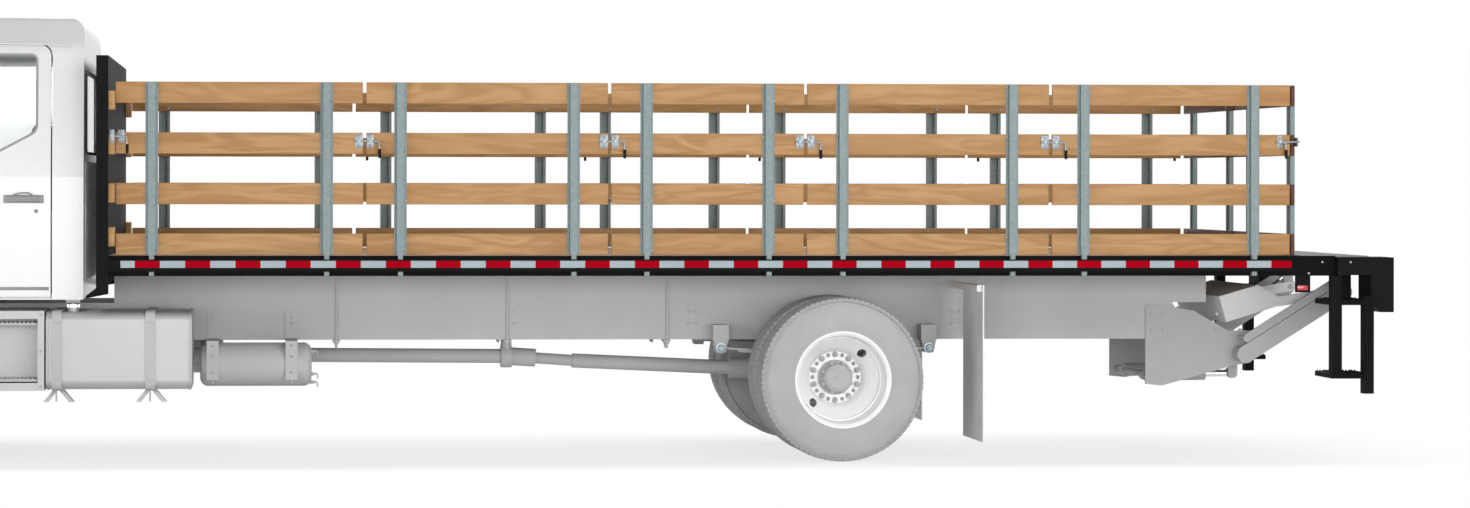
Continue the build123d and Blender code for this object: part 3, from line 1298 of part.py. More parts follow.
def tail_frame():
    """Behind the last sill: side plates, bearers, rear sill, dock bumpers and the two steps."""
    rail, rear = SIDE_RAIL_REAR_X, TREADPLATE_REAR_X
    low, high = LONG_SILL_TOP_Z, DECK_UNDER_Z
    side = block((rail, rear), (-HALF_BED, -SIDE_RAIL_Y + SIDE_RAIL_GAUGE),
                 (SIDE_RAIL_BOTTOM_Z + 5, DECK_TOP_Z - 8))
    bearer = block((rail, rear - 19), (-640, -600), (low, high))
    sill = block((rear - 20, rear), (-HALF_BED + 1, HALF_BED - 1), (low, high))
    bumper = block((rear, TAIL_X), (-HALF_BED, -HALF_BED + DOCK_BUMPER_WIDTH), DOCK_BUMPER_Z)
    bumper = chamfer(bumper.edges().filter_by(Axis.Y).sort_by(Axis.Z)[:2].sort_by(Axis.X)[:1], 60)
    steps = step_ladder()
    return fuse(both_sides(side, bearer, bumper, *steps) + [sill])


def tail_lamps():
    x = TREADPLATE_REAR_X
    z = (LONG_SILL_TOP_Z + DECK_UNDER_Z) / 2
    return [rod_x(side * y, z, 34, x, x + 14) for y in (700, 800, 900) for side in (-1, 1)]


# Tail lift


def arm_tip():
    return polar(ARM_PIVOT, ARM_LENGTH, ARM_STOWED_DEG)


def bar_pivot():
    return (ARM_PIVOT[0], ARM_PIVOT[1] + BAR_RISE)


def bar_y():
    """The left parallel bar's faces, outside the arm."""
    inner = -ARM_Y - ARM_THICKNESS / 2 - LIFT_GAP
    return inner - BAR_THICKNESS, inner


def shackle_y():
    """The left shackle's faces, inside the arm."""
    outer = -ARM_Y + ARM_THICKNESS / 2 + LIFT_GAP
    return outer, outer + SHACKLE_THICKNESS


def lift_mount():
    """Hanger plates on the frame's tail, a bearing for the torque tube, and the fixed pins."""
    x, z = ARM_PIVOT
    base_x, base_z = CYLINDER_BASE
    outline = polygon(
        (base_x - 50, FRAME_TOP_Z - 20), (base_x - 50, base_z - 50), (base_x + 60, base_z - 60), (x - 40, z - 80),
        (x + 75, z - 60), (x + 75, z + BAR_RISE + 40), (x - 77, z + BAR_RISE + 40), (FRAME_REAR_X + 10, 900),
        (FRAME_REAR_X - 200, FRAME_TOP_Z - 20),
    )
    plate = side_view(outline, -FRAME_HALF_WIDTH - MOUNT_PLATE, -FRAME_HALF_WIDTH)
    plate -= rod_y(x, z, TORQUE_TUBE_RADIUS + PIN_CLEARANCE, -FRAME_HALF_WIDTH - 50, -FRAME_HALF_WIDTH + 50)
    bar_pin = rod_y(*bar_pivot(), BAR_PIN_RADIUS, bar_y()[0] - 4, -FRAME_HALF_WIDTH - MOUNT_PLATE + 1)
    cross_pin = rod_y(base_x, base_z, CYLINDER_PIN_RADIUS, -FRAME_HALF_WIDTH - 1, FRAME_HALF_WIDTH + 1)
    return fuse(both_sides(plate, bar_pin) + [cross_pin])


def lift_arms():
    """Two arms on the torque tube, their tip pins, and the cylinders' lugs."""
    tip = arm_tip()
    arm = bar(ARM_PIVOT, tip, ARM_WIDTH, -ARM_Y - ARM_THICKNESS / 2, -ARM_Y + ARM_THICKNESS / 2)
    tip_pin = rod_y(*tip, TIP_PIN_RADIUS, -ARM_Y, -PLATFORM_HALF_WIDTH + PLATFORM_STRAP + 2)
    lug_end = polar(ARM_PIVOT, LUG_LENGTH, -90)
    lug_near = -CYLINDER_Y - CYLINDER_EYE_WIDTH / 2 - LIFT_GAP
    lug = bar(ARM_PIVOT, lug_end, LUG_WIDTH, lug_near - LUG_THICKNESS, lug_near)
    torque_tube = rod_y(*ARM_PIVOT, TORQUE_TUBE_RADIUS, -ARM_Y, ARM_Y)
    return fuse(both_sides(arm, tip_pin, lug) + [torque_tube])


def lift_bars():
    """The parallel bars above the arms, one each side."""
    start, tip = bar_pivot(), arm_tip()
    end = (tip[0], tip[1] + BAR_RISE)
    link = bar(start, end, BAR_WIDTH, *bar_y())
    holes = [rod_y(*place, BAR_PIN_RADIUS + PIN_CLEARANCE, bar_y()[0] - 9, bar_y()[1] + 9)
             for place in (start, end)]
    link -= holes
    return both_sides(link)


def lift_shackles():
    """Upright plates between the arms' tips and the bars' ends."""
    tip = arm_tip()
    upper = (tip[0], tip[1] + BAR_RISE)
    plate = bar(tip, upper, SHACKLE_WIDTH, *shackle_y())
    plate -= rod_y(*tip, TIP_PIN_RADIUS + PIN_CLEARANCE, shackle_y()[0] - 9, shackle_y()[1] + 9)
    pin = rod_y(*upper, BAR_PIN_RADIUS, bar_y()[0] - 4, shackle_y()[0] + 1)
    return both_sides(plate + pin)


def lift_platform():
    """The folded platform, carried on straps from the arms' tip pins."""
    slab = side_view(polygon(*PLATFORM_CORNERS), -PLATFORM_HALF_WIDTH, PLATFORM_HALF_WIDTH)
    tip, heel = arm_tip(), PLATFORM_CORNERS[-1]
    strap_y = (-PLATFORM_HALF_WIDTH, -PLATFORM_HALF_WIDTH + PLATFORM_STRAP)
    strap = bar(tip, (heel[0] - 60, heel[1] + 10), 64, *strap_y)
    strap -= rod_y(*tip, TIP_PIN_RADIUS + SEAT_GAP, strap_y[0] - 9, strap_y[1] + 9)
    return fuse([slab] + both_sides(strap))


def cylinder_line():
    """Start, length and angle of the cylinders when the lift is stowed."""
    start, end = CYLINDER_BASE, polar(ARM_PIVOT, LUG_LENGTH, -90)
    run = (end[0] - start[0], end[1] - start[1])
    return start, hypot(*run), degrees(atan2(run[1], run[0]))


def lift_barrels():
    """Cylinder barrels on the cross pin, bored for their rods."""
    start, _, turn = cylinder_line()
    near, far = -CYLINDER_Y - CYLINDER_EYE_WIDTH / 2, -CYLINDER_Y + CYLINDER_EYE_WIDTH / 2
    barrel = tube(start, polar(start, CYLINDER_BARREL, turn), CYLINDER_RADIUS, -CYLINDER_Y)
    barrel -= rod_y(*start, CYLINDER_EYE_RADIUS - 2, -CYLINDER_Y - 99, -CYLINDER_Y + 99)
    barrel = barrel.solids().sort_by(Axis.X)[-1]
    barrel = barrel + rod_y(*start, CYLINDER_EYE_RADIUS, near, far)
    barrel -= rod_y(*start, CYLINDER_PIN_RADIUS + PIN_CLEARANCE, near - 9, far + 9)
    bore_start, bore_end = polar(start, CYLINDER_BORE_START, turn), polar(start, CYLINDER_BARREL + 9, turn)
    bore = tube(bore_start, bore_end, CYLINDER_ROD_RADIUS + PIN_CLEARANCE, -CYLINDER_Y)
    return both_sides(barrel - bore)


def lift_rods():
    """Cylinder rods, their open eyes beside the torque tube's lugs."""
    start, length, turn = cylinder_line()
    rod_start, rod_end = polar(start, CYLINDER_ROD_START, turn), polar(start, length - 15, turn)
    near, far = -CYLINDER_Y - CYLINDER_EYE_WIDTH / 2, -CYLINDER_Y + CYLINDER_EYE_WIDTH / 2
    eye = rod_y(*polar(start, length, turn), CYLINDER_EYE_RADIUS, near, far)
    rod = tube(rod_start, rod_end, CYLINDER_ROD_RADIUS, -CYLINDER_Y) + eye
    return both_sides(rod - rod_y(*polar(start, length, turn), CYLINDER_PIN_RADIUS, near - 9, far + 9))


def save(name, *shapes):
    """Write one node's solids."""
    solids = []
    for shape in shapes:
        for piece in shape if isinstance(shape, (list, tuple)) else [shape]:
            solids += piece.solids()
    export_step(Compound(children=solids), f"{PARTS_FOLDER}/{name}.step")


def build_parts():
    """Every node of the truck: name and shape."""
    wall = cab_wall()
    left_door = door(wall)
    left_mirror = mirror_head()
    left_glass = pane() & left_only(window_outline(GLASS_FIT))
    rims, tyres = rear_wheel(), rear_tyres()
    rear_hub = hub(REAR_AXLE_X, REAR_DISC_Y, REAR_SPINDLE_RADIUS, 122, 172, 112)
    front_hub = hub(FRONT_AXLE_X, FRONT_DISC_Y, FRONT_SPINDLE_RADIUS, 62, 128, 118)
    front_rim = wheel(FRONT_AXLE_X, -FRONT_DISC_Y, 1)
    front_tyre = tyre(FRONT_AXLE_X, -FRONT_DISC_Y + DISC_OFFSET)
    dash = dashboard()
    parts = {
        "frame_rails": [ladder_frame()],
        "springs": both_sides(front_spring(), rear_spring()),
        "front_axle": [front_axle()],
        "rear_axle": [rear_axle()],
        "tie_rod": [tie_rod()],
        "driveshaft": [driveshaft()],
        "engine_block": engine() + [radiator()],
        "fuel_tank": [fuel_tank() + tank_straps()],
        "step_boxes": both_sides(step_box()),
        "air_tank": [air_tank()],
        "muffler": [muffler()],
        "mud_flaps": both_sides(mud_flap()),
        "bed_frame": [bed_frame()],
        "bed_sills": [bed_sills()],
        "deck_boards": deck_boards(),
        "side_slats": both_sides(*side_slats()),
        "rear_slats": rear_slats(),
        "side_stakes": both_sides(*side_stakes()),
        "rear_stakes": rear_stakes(),
        "rack_latches": both_sides(*rack_latches()),
        "bulkhead": [bulkhead()],
        "cab_shell": [cab_shell(wall)],
        "cab_glass": [pane() & through_front(screen_outline(GLASS_FIT)),
                      pane() & through_back(back_window_outline(GLASS_FIT))],
        "dashboard": [dash + steering_wheel(dash)],
        "seats": seats(),
        "hood": [hood()],
        "grille": [grille()],
        "headlamps": both_sides(headlamp()),
        "front_bumper": [front_bumper()],
        "treadplate": [treadplate()],
        "tail_frame": [tail_frame()],
        "tail_lamps": tail_lamps(),
        "lift_mount": [lift_mount()],
        "lift_arms": [lift_arms()],
        "lift_bars": lift_bars(),
        "lift_shackles": lift_shackles(),
        "lift_platform": [lift_platform()],
        "lift_barrels": lift_barrels(),
        "lift_rods": lift_rods(),
    }
    # name, left-hand shapes
    handed = {
        "door": [left_door], "door_glass": [left_glass], "mirror": [left_mirror], "knuckle": [knuckle()],
        "front_rim": [front_rim], "front_tyre": [front_tyre], "front_hub": [front_hub],
        "rear_rims": [rims], "rear_tyres": tyres, "rear_hub": [rear_hub],
    }
    for name, shapes in handed.items():
        parts[name + "_left"] = shapes
        parts[name + "_right"] = [right_hand(shape) for shape in shapes]
    return parts


os.makedirs(PARTS_FOLDER, exist_ok=True)
for node, shapes in build_parts().items():
    save(node, shapes)
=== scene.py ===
import json
from math import cos, pi, radians, sin

import bmesh
import bpy
import numpy as np
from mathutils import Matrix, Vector


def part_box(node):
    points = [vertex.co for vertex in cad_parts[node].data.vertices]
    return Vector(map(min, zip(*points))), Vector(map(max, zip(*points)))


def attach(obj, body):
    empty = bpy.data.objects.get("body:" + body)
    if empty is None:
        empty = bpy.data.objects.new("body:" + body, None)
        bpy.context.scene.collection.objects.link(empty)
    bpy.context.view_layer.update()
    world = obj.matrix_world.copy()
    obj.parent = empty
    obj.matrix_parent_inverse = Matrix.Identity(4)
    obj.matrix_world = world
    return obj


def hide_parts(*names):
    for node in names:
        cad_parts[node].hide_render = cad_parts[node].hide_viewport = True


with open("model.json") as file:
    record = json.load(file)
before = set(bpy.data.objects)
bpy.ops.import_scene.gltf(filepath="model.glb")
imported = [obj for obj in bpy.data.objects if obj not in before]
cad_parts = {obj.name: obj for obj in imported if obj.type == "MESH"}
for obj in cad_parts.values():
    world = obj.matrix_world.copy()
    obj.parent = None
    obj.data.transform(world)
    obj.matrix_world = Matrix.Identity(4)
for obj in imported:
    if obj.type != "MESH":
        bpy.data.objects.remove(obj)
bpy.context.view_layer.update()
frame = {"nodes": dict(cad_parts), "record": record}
nodes = frame["nodes"]
rng = np.random.default_rng(7)
scene = bpy.context.scene
print("frame loaded:", len(nodes), "nodes")


# Meshes

def gridFaces(rows, columns, wrapRows=False, wrapColumns=False):
    # quads over a rows x columns table of points, joined end to end where asked
    r, c = np.meshgrid(np.arange(rows if wrapRows else rows - 1),
                       np.arange(columns if wrapColumns else columns - 1), indexing="ij")
    nextR, nextC = (r + 1) % rows, (c + 1) % columns
    corners = [r * columns + c, r * columns + nextC, nextR * columns + nextC, nextR * columns + c]
    return np.stack(corners, -1).reshape(-1, 4)


def shells(rings):
    # rings is copies x rings x points x 3: each copy is a tube through its rings, closed by flat ends
    rings = np.asarray(rings, float)
    copies, count, around, _ = rings.shape
    base = gridFaces(count, around, wrapColumns=True)
    start = (np.arange(copies) * count * around)[:, None, None]
    faces = (base[None] + start).reshape(-1, 4).tolist()
    first = np.arange(around)[::-1]
    last = np.arange(around) + (count - 1) * around
    for ends in (first, last):
        faces += (ends[None] + start[:, 0]).tolist()
    return rings.reshape(-1, 3), faces


def joined(*parts):
    points, faces, start = [], [], 0
    for partPoints, partFaces in parts:
        points.append(partPoints)
        faces += [[i + start for i in face] for face in partFaces]
        start += len(partPoints)
    return np.concatenate(points), faces


def mirrored(part):
    points, faces = part
    return points * (1, -1, 1), [face[::-1] for face in faces]


def bothSides(*parts):
    part = joined(*parts)
    return joined(part, mirrored(part))


def addPiece(name, body, material, part, replaces=(), sharp=35, values=None):
    points, faces = part
    mesh = bpy.data.meshes.new(name)
    mesh.from_pydata(np.asarray(points, float).tolist(), [], faces)
    if values is not None:
        layer = mesh.attributes.new("boardSeed", "FLOAT", "POINT")
        layer.data.foreach_set("value", np.asarray(values, np.float32))
    work = bmesh.new()
    work.from_mesh(mesh)
    bmesh.ops.recalc_face_normals(work, faces=work.faces)
    work.to_mesh(mesh)
    work.free()
    mesh.polygons.foreach_set("use_smooth", np.ones(len(mesh.polygons), bool))
    mesh.set_sharp_from_angle(angle=radians(sharp))
    mesh.materials.append(material)
    piece = bpy.data.objects.new(name, mesh)
    scene.collection.objects.link(piece)
    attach(piece, body)
    if replaces:
        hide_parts(*replaces)
    return piece


def addPair(name, body, material, part, replaces="", sharp=35):
    # the part as made is the left one, at negative Y; a star in a name stands for the side
    for word, made in (("left", part), ("right", mirrored(part))):
        addPiece(name + word.capitalize(), body.replace("*", word), material, made,
                 [replaces.replace("*", word)] if replaces else (), sharp)


axisOrder = {"x": (1, 2, 0), "y": (2, 0, 1), "z": (0, 1, 2)}


def toAxis(across, up, along, axis):
    # puts section coordinates and the run's coordinate on the truck's axes
    table = np.stack(np.broadcast_arrays(across, up, along), -1)
    out = np.empty_like(table)
    for i, place in enumerate(axisOrder[axis]):
        out[..., place] = table[..., i]
    return out


def softBoxes(rows, edge=0.0015, axis="x", steps=2):
    # boxes from rows of x0, x1, y0, y1, z0, z1 with their edges rounded: a rounded rectangle
    # carried along one axis and drawn in by the edge radius at both ends
    table = np.atleast_2d(np.asarray(rows, float))
    lows, highs = np.minimum(table[:, 0::2], table[:, 1::2]), np.maximum(table[:, 0::2], table[:, 1::2])
    order = axisOrder[axis]
    lows, highs = lows[:, order], highs[:, order]
    swing = np.linspace(0, pi / 2, steps + 1)
    turn = np.repeat(np.arange(4), steps + 1) * (pi / 2) + np.tile(swing, 4)
    quarter = np.repeat([[1, 1], [-1, 1], [-1, -1], [1, -1]], steps + 1, axis=0)
    inset = edge * (1 - np.sin(swing))
    along = edge * (1 - np.cos(swing))
    inset = np.concatenate([inset, inset[::-1]])
    half, middle = (highs - lows) / 2, (highs + lows) / 2
    place = np.concatenate([lows[:, 2:3] + along, highs[:, 2:3] - along[::-1]], axis=1)
    reach = half[:, None, None, :2] - edge
    radius = (edge - inset)[None, :, None, None]
    section = reach * quarter[None, None] + radius * np.stack([np.cos(turn), np.sin(turn)], -1)[None, None]
    across = middle[:, None, None, 0] + section[..., 0]
    up = middle[:, None, None, 1] + section[..., 1]
    return shells(toAxis(across, up, place[:, :, None] + 0 * across, axis))


def heads(centres, axis, profile, sides=8):
    # turned heads at many places: profile lists radius and height rings above each centre along the axis
    centres = np.atleast_2d(np.asarray(centres, float))
    profile = np.asarray(profile, float)
    angle = np.linspace(0, 2 * pi, sides, endpoint=False)
    sign = -1 if axis.startswith("-") else 1
    local = toAxis(profile[:, :1] * np.cos(angle), profile[:, :1] * np.sin(angle),
                   sign * profile[:, 1:2] + 0 * angle, axis[-1])
    return shells(centres[:, None, None, :] + local[None])


def pathTube(path, radius, sides=10, smooth=3):
    # a round section along straight runs whose corners are smoothed by repeated corner cutting
    path = np.asarray(path, float)
    for _ in range(smooth):
        a, b = path[:-1], path[1:]
        cut = np.stack([0.75 * a + 0.25 * b, 0.25 * a + 0.75 * b], 1).reshape(-1, 3)
        path = np.concatenate([path[:1], cut, path[-1:]])
    tangent = np.gradient(path, axis=0)
    tangent /= np.linalg.norm(tangent, axis=1, keepdims=True)
    side = np.cross(tangent, (0.31, 0.17, 0.93))
    side /= np.linalg.norm(side, axis=1, keepdims=True)
    other = np.cross(tangent, side)
    angle = np.linspace(0, 2 * pi, sides, endpoint=False)[None, :, None]
    spoke = np.cos(angle) * side[:, None] + np.sin(angle) * other[:, None]
    return shells((path[:, None] + radius * spoke)[None])


def roundedLoop(corners, radius, steps=6):
    # a closed outline whose corners are short curves
    corners = np.asarray(corners, float)
    out = []
    for before, here, after in zip(np.roll(corners, 1, 0), corners, np.roll(corners, -1, 0)):
        a = here + (before - here) * radius / np.linalg.norm(before - here)
        b = here + (after - here) * radius / np.linalg.norm(after - here)
        out += [(1 - t) ** 2 * a + 2 * t * (1 - t) * here + t ** 2 * b for t in np.linspace(0, 1, steps)]
    return np.array(out)


def loopTube(path, radius, normal, sides=8, flat=1.0):
    # a section carried once round a closed outline that lies near a plane with the given normal
    tangent = np.roll(path, -1, 0) - np.roll(path, 1, 0)
    tangent /= np.linalg.norm(tangent, axis=1, keepdims=True)
    out = np.broadcast_to(np.asarray(normal, float), path.shape)
    side = np.cross(tangent, out)
    side /= np.linalg.norm(side, axis=1, keepdims=True)
    angle = np.linspace(0, 2 * pi, sides, endpoint=False)[None, :, None]
    rings = path[:, None] + radius * (np.cos(angle) * side[:, None] + flat * np.sin(angle) * out[:, None])
    return rings.reshape(-1, 3), gridFaces(len(path), sides, True, True).tolist()


def tilted(part, place, degreesAboutY):
    # turns a part made at the origin about Y and sets it at a place
    points, faces = part
    a = radians(degreesAboutY)
    turn = np.array([[cos(a), 0, sin(a)], [0, 1, 0], [-sin(a), 0, cos(a)]])
    return points @ turn.T + np.asarray(place, float), faces


# Materials

def newGroup(name, inputs, outputs):
    group = bpy.data.node_groups.new(name, "ShaderNodeTree")
    for label, kind, value in inputs:
        socket = group.interface.new_socket(label, in_out="INPUT", socket_type=kind)
        if value is not None:
            socket.default_value = value
    for label, kind in outputs:
        group.interface.new_socket(label, in_out="OUTPUT", socket_type=kind)
    return group, group.nodes.new("NodeGroupInput"), group.nodes.new("NodeGroupOutput")


def put(tree, kind, values=None, **settings):
    node = tree.nodes.new(kind)
    for key, value in settings.items():
        setattr(node, key, value)
    for key, value in (values or {}).items():
        if isinstance(value, bpy.types.NodeSocket):
            tree.links.new(value, node.inputs[key])
        else:
            node.inputs[key].default_value = value
    return node


def calc(tree, operation, a, b=0.0):
    return put(tree, "ShaderNodeMath", {0: a, 1: b}, operation=operation).outputs[0]


def spread(tree, value, low, high, toLow=0.0, toHigh=1.0):
    return put(tree, "ShaderNodeMapRange", {"Value": value, "From Min": low, "From Max": high,
                                            "To Min": toLow, "To Max": toHigh}).outputs[0]


def mixColour(tree, factor, a, b):
    node = tree.nodes.new("ShaderNodeMix")
    node.data_type = "RGBA"
    for index, value in ((0, factor), (6, a), (7, b)):
        if isinstance(value, bpy.types.NodeSocket):
            tree.links.new(value, node.inputs[index])
        else:
            node.inputs[index].default_value = value if index == 0 else (*value, 1)
    return node.outputs[2]


def ramp(tree, factor, stops):
    node = tree.nodes.new("ShaderNodeValToRGB")
    tree.links.new(factor, node.inputs[0])
    elements = node.color_ramp.elements
    elements[0].position, elements[0].color = stops[0][0], (*stops[0][1], 1)
    elements[1].position, elements[1].color = stops[-1][0], (*stops[-1][1], 1)
    for place, colour in stops[1:-1]:
        elements.new(place).color = (*colour, 1)
    return node.outputs[0]


def times(colour, factor):
    return tuple(min(1.0, c * factor) for c in colour)


def between(a, b):
    return tuple((one + other) / 2 for one, other in zip(a, b))


def scaled(tree, vector, scale):
    return put(tree, "ShaderNodeMapping", {"Vector": vector, "Scale": scale}).outputs[0]


def noise(tree, vector, scale, detail=4.0, rough=0.55, distortion=0.0):
    return put(tree, "ShaderNodeTexNoise", {"Vector": vector, "Scale": scale, "Detail": detail,
                                            "Roughness": rough, "Distortion": distortion}).outputs["Fac"]


def makeSurfaceWear():
    # soft blotches, fine specks and a worn-edge mask
    group, start, end = newGroup("surfaceWear", [
        ("Vector", "NodeSocketVector", None), ("Blotch Scale", "NodeSocketFloat", 2.0),
        ("Fleck Scale", "NodeSocketFloat", 60.0)],
        [("Blotch", "NodeSocketFloat"), ("Fleck", "NodeSocketFloat"), ("Edge", "NodeSocketFloat")])
    labels = ("Vector", "Blotch Scale", "Fleck Scale")
    vector, blotchScale, fleckScale = (start.outputs[label] for label in labels)
    blotch = spread(group, noise(group, vector, blotchScale, 5.0, 0.6), 0.3, 0.7)
    fleck = spread(group, noise(group, vector, fleckScale, 3.0, 0.5), 0.35, 0.65)
    edge = spread(group, put(group, "ShaderNodeNewGeometry").outputs["Pointiness"], 0.52, 0.58)
    edge = calc(group, "MULTIPLY", edge, fleck)
    for label, value in (("Blotch", blotch), ("Fleck", fleck), ("Edge", edge)):
        group.links.new(value, end.inputs[label])
    return group


def makeWoodGrain():
    # long rings bent by a slow noise, fine fibres, and a tone for each board; the grain runs along X
    group, start, end = newGroup("woodGrain", [
        ("Vector", "NodeSocketVector", None), ("Seed", "NodeSocketFloat", 0.0),
        ("Ring Scale", "NodeSocketFloat", 1.0)],
        [("Rings", "NodeSocketFloat"), ("Fibre", "NodeSocketFloat"), ("Tone", "NodeSocketFloat"),
         ("Cloud", "NodeSocketFloat")])
    seed = start.outputs["Seed"]
    shift = put(group, "ShaderNodeCombineXYZ", {0: calc(group, "MULTIPLY", seed, 37.0),
                                                1: calc(group, "MULTIPLY", seed, 11.0),
                                                2: calc(group, "MULTIPLY", seed, 23.0)}).outputs[0]
    moved = put(group, "ShaderNodeVectorMath", {0: start.outputs["Vector"], 1: shift}, operation="ADD")
    place = moved.outputs[0]
    slow = noise(group, scaled(group, place, (0.7, 5.0, 5.0)), 1.6, 2.0, 0.5, 0.6)
    cloud = noise(group, scaled(group, place, (1.0, 6.0, 6.0)), 1.2, 4.0, 0.6)
    bands = calc(group, "MULTIPLY", slow, calc(group, "MULTIPLY", start.outputs["Ring Scale"], 34.0))
    rings = calc(group, "ADD", calc(group, "MULTIPLY", calc(group, "SINE", bands), 0.5), 0.5)
    fibre = noise(group, scaled(group, place, (5.0, 260.0, 260.0)), 1.0, 4.0, 0.65)
    tone = put(group, "ShaderNodeTexWhiteNoise", {"W": seed}, noise_dimensions="1D").outputs["Value"]
    for label, value in (("Rings", rings), ("Fibre", fibre), ("Tone", tone), ("Cloud", cloud)):
        group.links.new(value, end.inputs[label])
    return group


surfaceWear, woodGrain = makeSurfaceWear(), makeWoodGrain()


def newMaterial(name):
    material = bpy.data.materials.new(name)
    material.use_nodes = True
    tree = material.node_tree
    place = tree.nodes.new("ShaderNodeTexCoord").outputs["Object"]
    return material, tree, tree.nodes["Principled BSDF"], place


def useGroup(tree, group, values):
    node = tree.nodes.new("ShaderNodeGroup")
    node.node_tree = group
    for key, value in values.items():
        if isinstance(value, bpy.types.NodeSocket):
            tree.links.new(value, node.inputs[key])
        else:
            node.inputs[key].default_value = value
    return node.outputs


def bumped(tree, shader, height, strength, distance=0.001):
    bump = put(tree, "ShaderNodeBump", {"Height": height, "Strength": strength, "Distance": distance})
    tree.links.new(bump.outputs[0], shader.inputs["Normal"])


def roughBetween(tree, shader, mask, low, high):
    tree.links.new(spread(tree, mask, 0.0, 1.0, low, high), shader.inputs["Roughness"])


def paint(name, colour, dirt=0.05, rough=(0.3, 0.42), coat=0.0, metallic=0.0, bump=0.04, grainScale=160.0,
          blotchScale=1.6, edgeColour=None, specular=0.5):
    # sprayed or cast metal: a slow drift in tone, fine pitting, dust in the low places and paler edges
    material, tree, shader, place = newMaterial(name)
    wear = useGroup(tree, surfaceWear, {"Vector": place, "Blotch Scale": blotchScale,
                                        "Fleck Scale": grainScale})
    darker, lighter = times(colour, 1 - 2.2 * dirt), times(colour, 1 + dirt)
    base = mixColour(tree, wear["Blotch"], lighter, darker)
    base = mixColour(tree, calc(tree, "MULTIPLY", wear["Fleck"], dirt), base, darker)
    if edgeColour:
        base = mixColour(tree, calc(tree, "MULTIPLY", wear["Edge"], 0.5), base, edgeColour)
    tree.links.new(base, shader.inputs["Base Color"])
    roughBetween(tree, shader, wear["Fleck"], *rough)
    shader.inputs["Metallic"].default_value = metallic
    shader.inputs["Coat Weight"].default_value = coat
    shader.inputs["Coat Roughness"].default_value = 0.12
    shader.inputs["Specular IOR Level"].default_value = specular
    bumped(tree, shader, wear["Fleck"], bump)
    return material


def wood(name, pale, deep, stain, alongY=False, ringScale=1.0, gloss=(0.4, 0.6), specular=0.3):
    # boards: pale and deep tones by ring, fibre and board, with a darker drift where the stain took
    material, tree, shader, place = newMaterial(name)
    if alongY:
        place = put(tree, "ShaderNodeMapping", {"Vector": place, "Rotation": (0, 0, pi / 2)}).outputs[0]
    seed = put(tree, "ShaderNodeAttribute", attribute_name="boardSeed").outputs["Fac"]
    grain = useGroup(tree, woodGrain, {"Vector": place, "Seed": seed, "Ring Scale": ringScale})
    figure = calc(tree, "ADD", calc(tree, "MULTIPLY", grain["Rings"], 0.42),
                  calc(tree, "MULTIPLY", grain["Fibre"], 0.58))
    base = ramp(tree, figure, [(0.22, pale), (0.55, between(pale, deep)), (0.85, deep)])
    base = mixColour(tree, calc(tree, "MULTIPLY", grain["Tone"], 0.55), base, stain)
    base = mixColour(tree, spread(tree, grain["Cloud"], 0.45, 0.75, 0.0, 0.6), base, deep)
    tree.links.new(base, shader.inputs["Base Color"])
    roughBetween(tree, shader, grain["Fibre"], *gloss)
    shader.inputs["Specular IOR Level"].default_value = specular
    bumped(tree, shader, figure, 0.18, 0.0006)
    return material


def zinc(name, colour, spangle=70.0, rough=(0.4, 0.6), metallic=0.35, specular=0.25):
    # hot-dip zinc: flat crystal cells of slightly different tone, with streaks down the length
    material, tree, shader, place = newMaterial(name)
    cells = put(tree, "ShaderNodeTexVoronoi", {"Vector": place, "Scale": spangle})
    tone = put(tree, "ShaderNodeSeparateColor", {"Color": cells.outputs["Color"]}).outputs[0]
    streak = noise(tree, scaled(tree, place, (30.0, 30.0, 1.6)), 1.0, 3.0, 0.6)
    mask = calc(tree, "ADD", calc(tree, "MULTIPLY", tone, 0.45), calc(tree, "MULTIPLY", streak, 0.55))
    base = mixColour(tree, mask, times(colour, 0.78), times(colour, 1.18))
    tree.links.new(base, shader.inputs["Base Color"])
    shader.inputs["Metallic"].default_value = metallic
    shader.inputs["Specular IOR Level"].default_value = specular
    roughBetween(tree, shader, mask, *rough)
    bumped(tree, shader, mask, 0.05)
    return material


def rubber(name, colour, rough=(0.6, 0.8), specular=0.25):
    material, tree, shader, place = newMaterial(name)
    wear = useGroup(tree, surfaceWear, {"Vector": place, "Blotch Scale": 5.0, "Fleck Scale": 220.0})
    base = mixColour(tree, wear["Blotch"], times(colour, 0.93), times(colour, 1.05))
    tree.links.new(base, shader.inputs["Base Color"])
    shader.inputs["Specular IOR Level"].default_value = specular
    roughBetween(tree, shader, wear["Fleck"], *rough)
    bumped(tree, shader, wear["Fleck"], 0.08)
    return material


def glass(name, colour, rough=0.02):
    material, tree, shader, place = newMaterial(name)
    smear = noise(tree, place, 3.0, 3.0)
    tree.links.new(mixColour(tree, smear, colour, times(colour, 0.96)), shader.inputs["Base Color"])
    shader.inputs["Transmission Weight"].default_value = 1.0
    shader.inputs["IOR"].default_value = 1.45
    roughBetween(tree, shader, smear, rough, rough + 0.03)
    return material


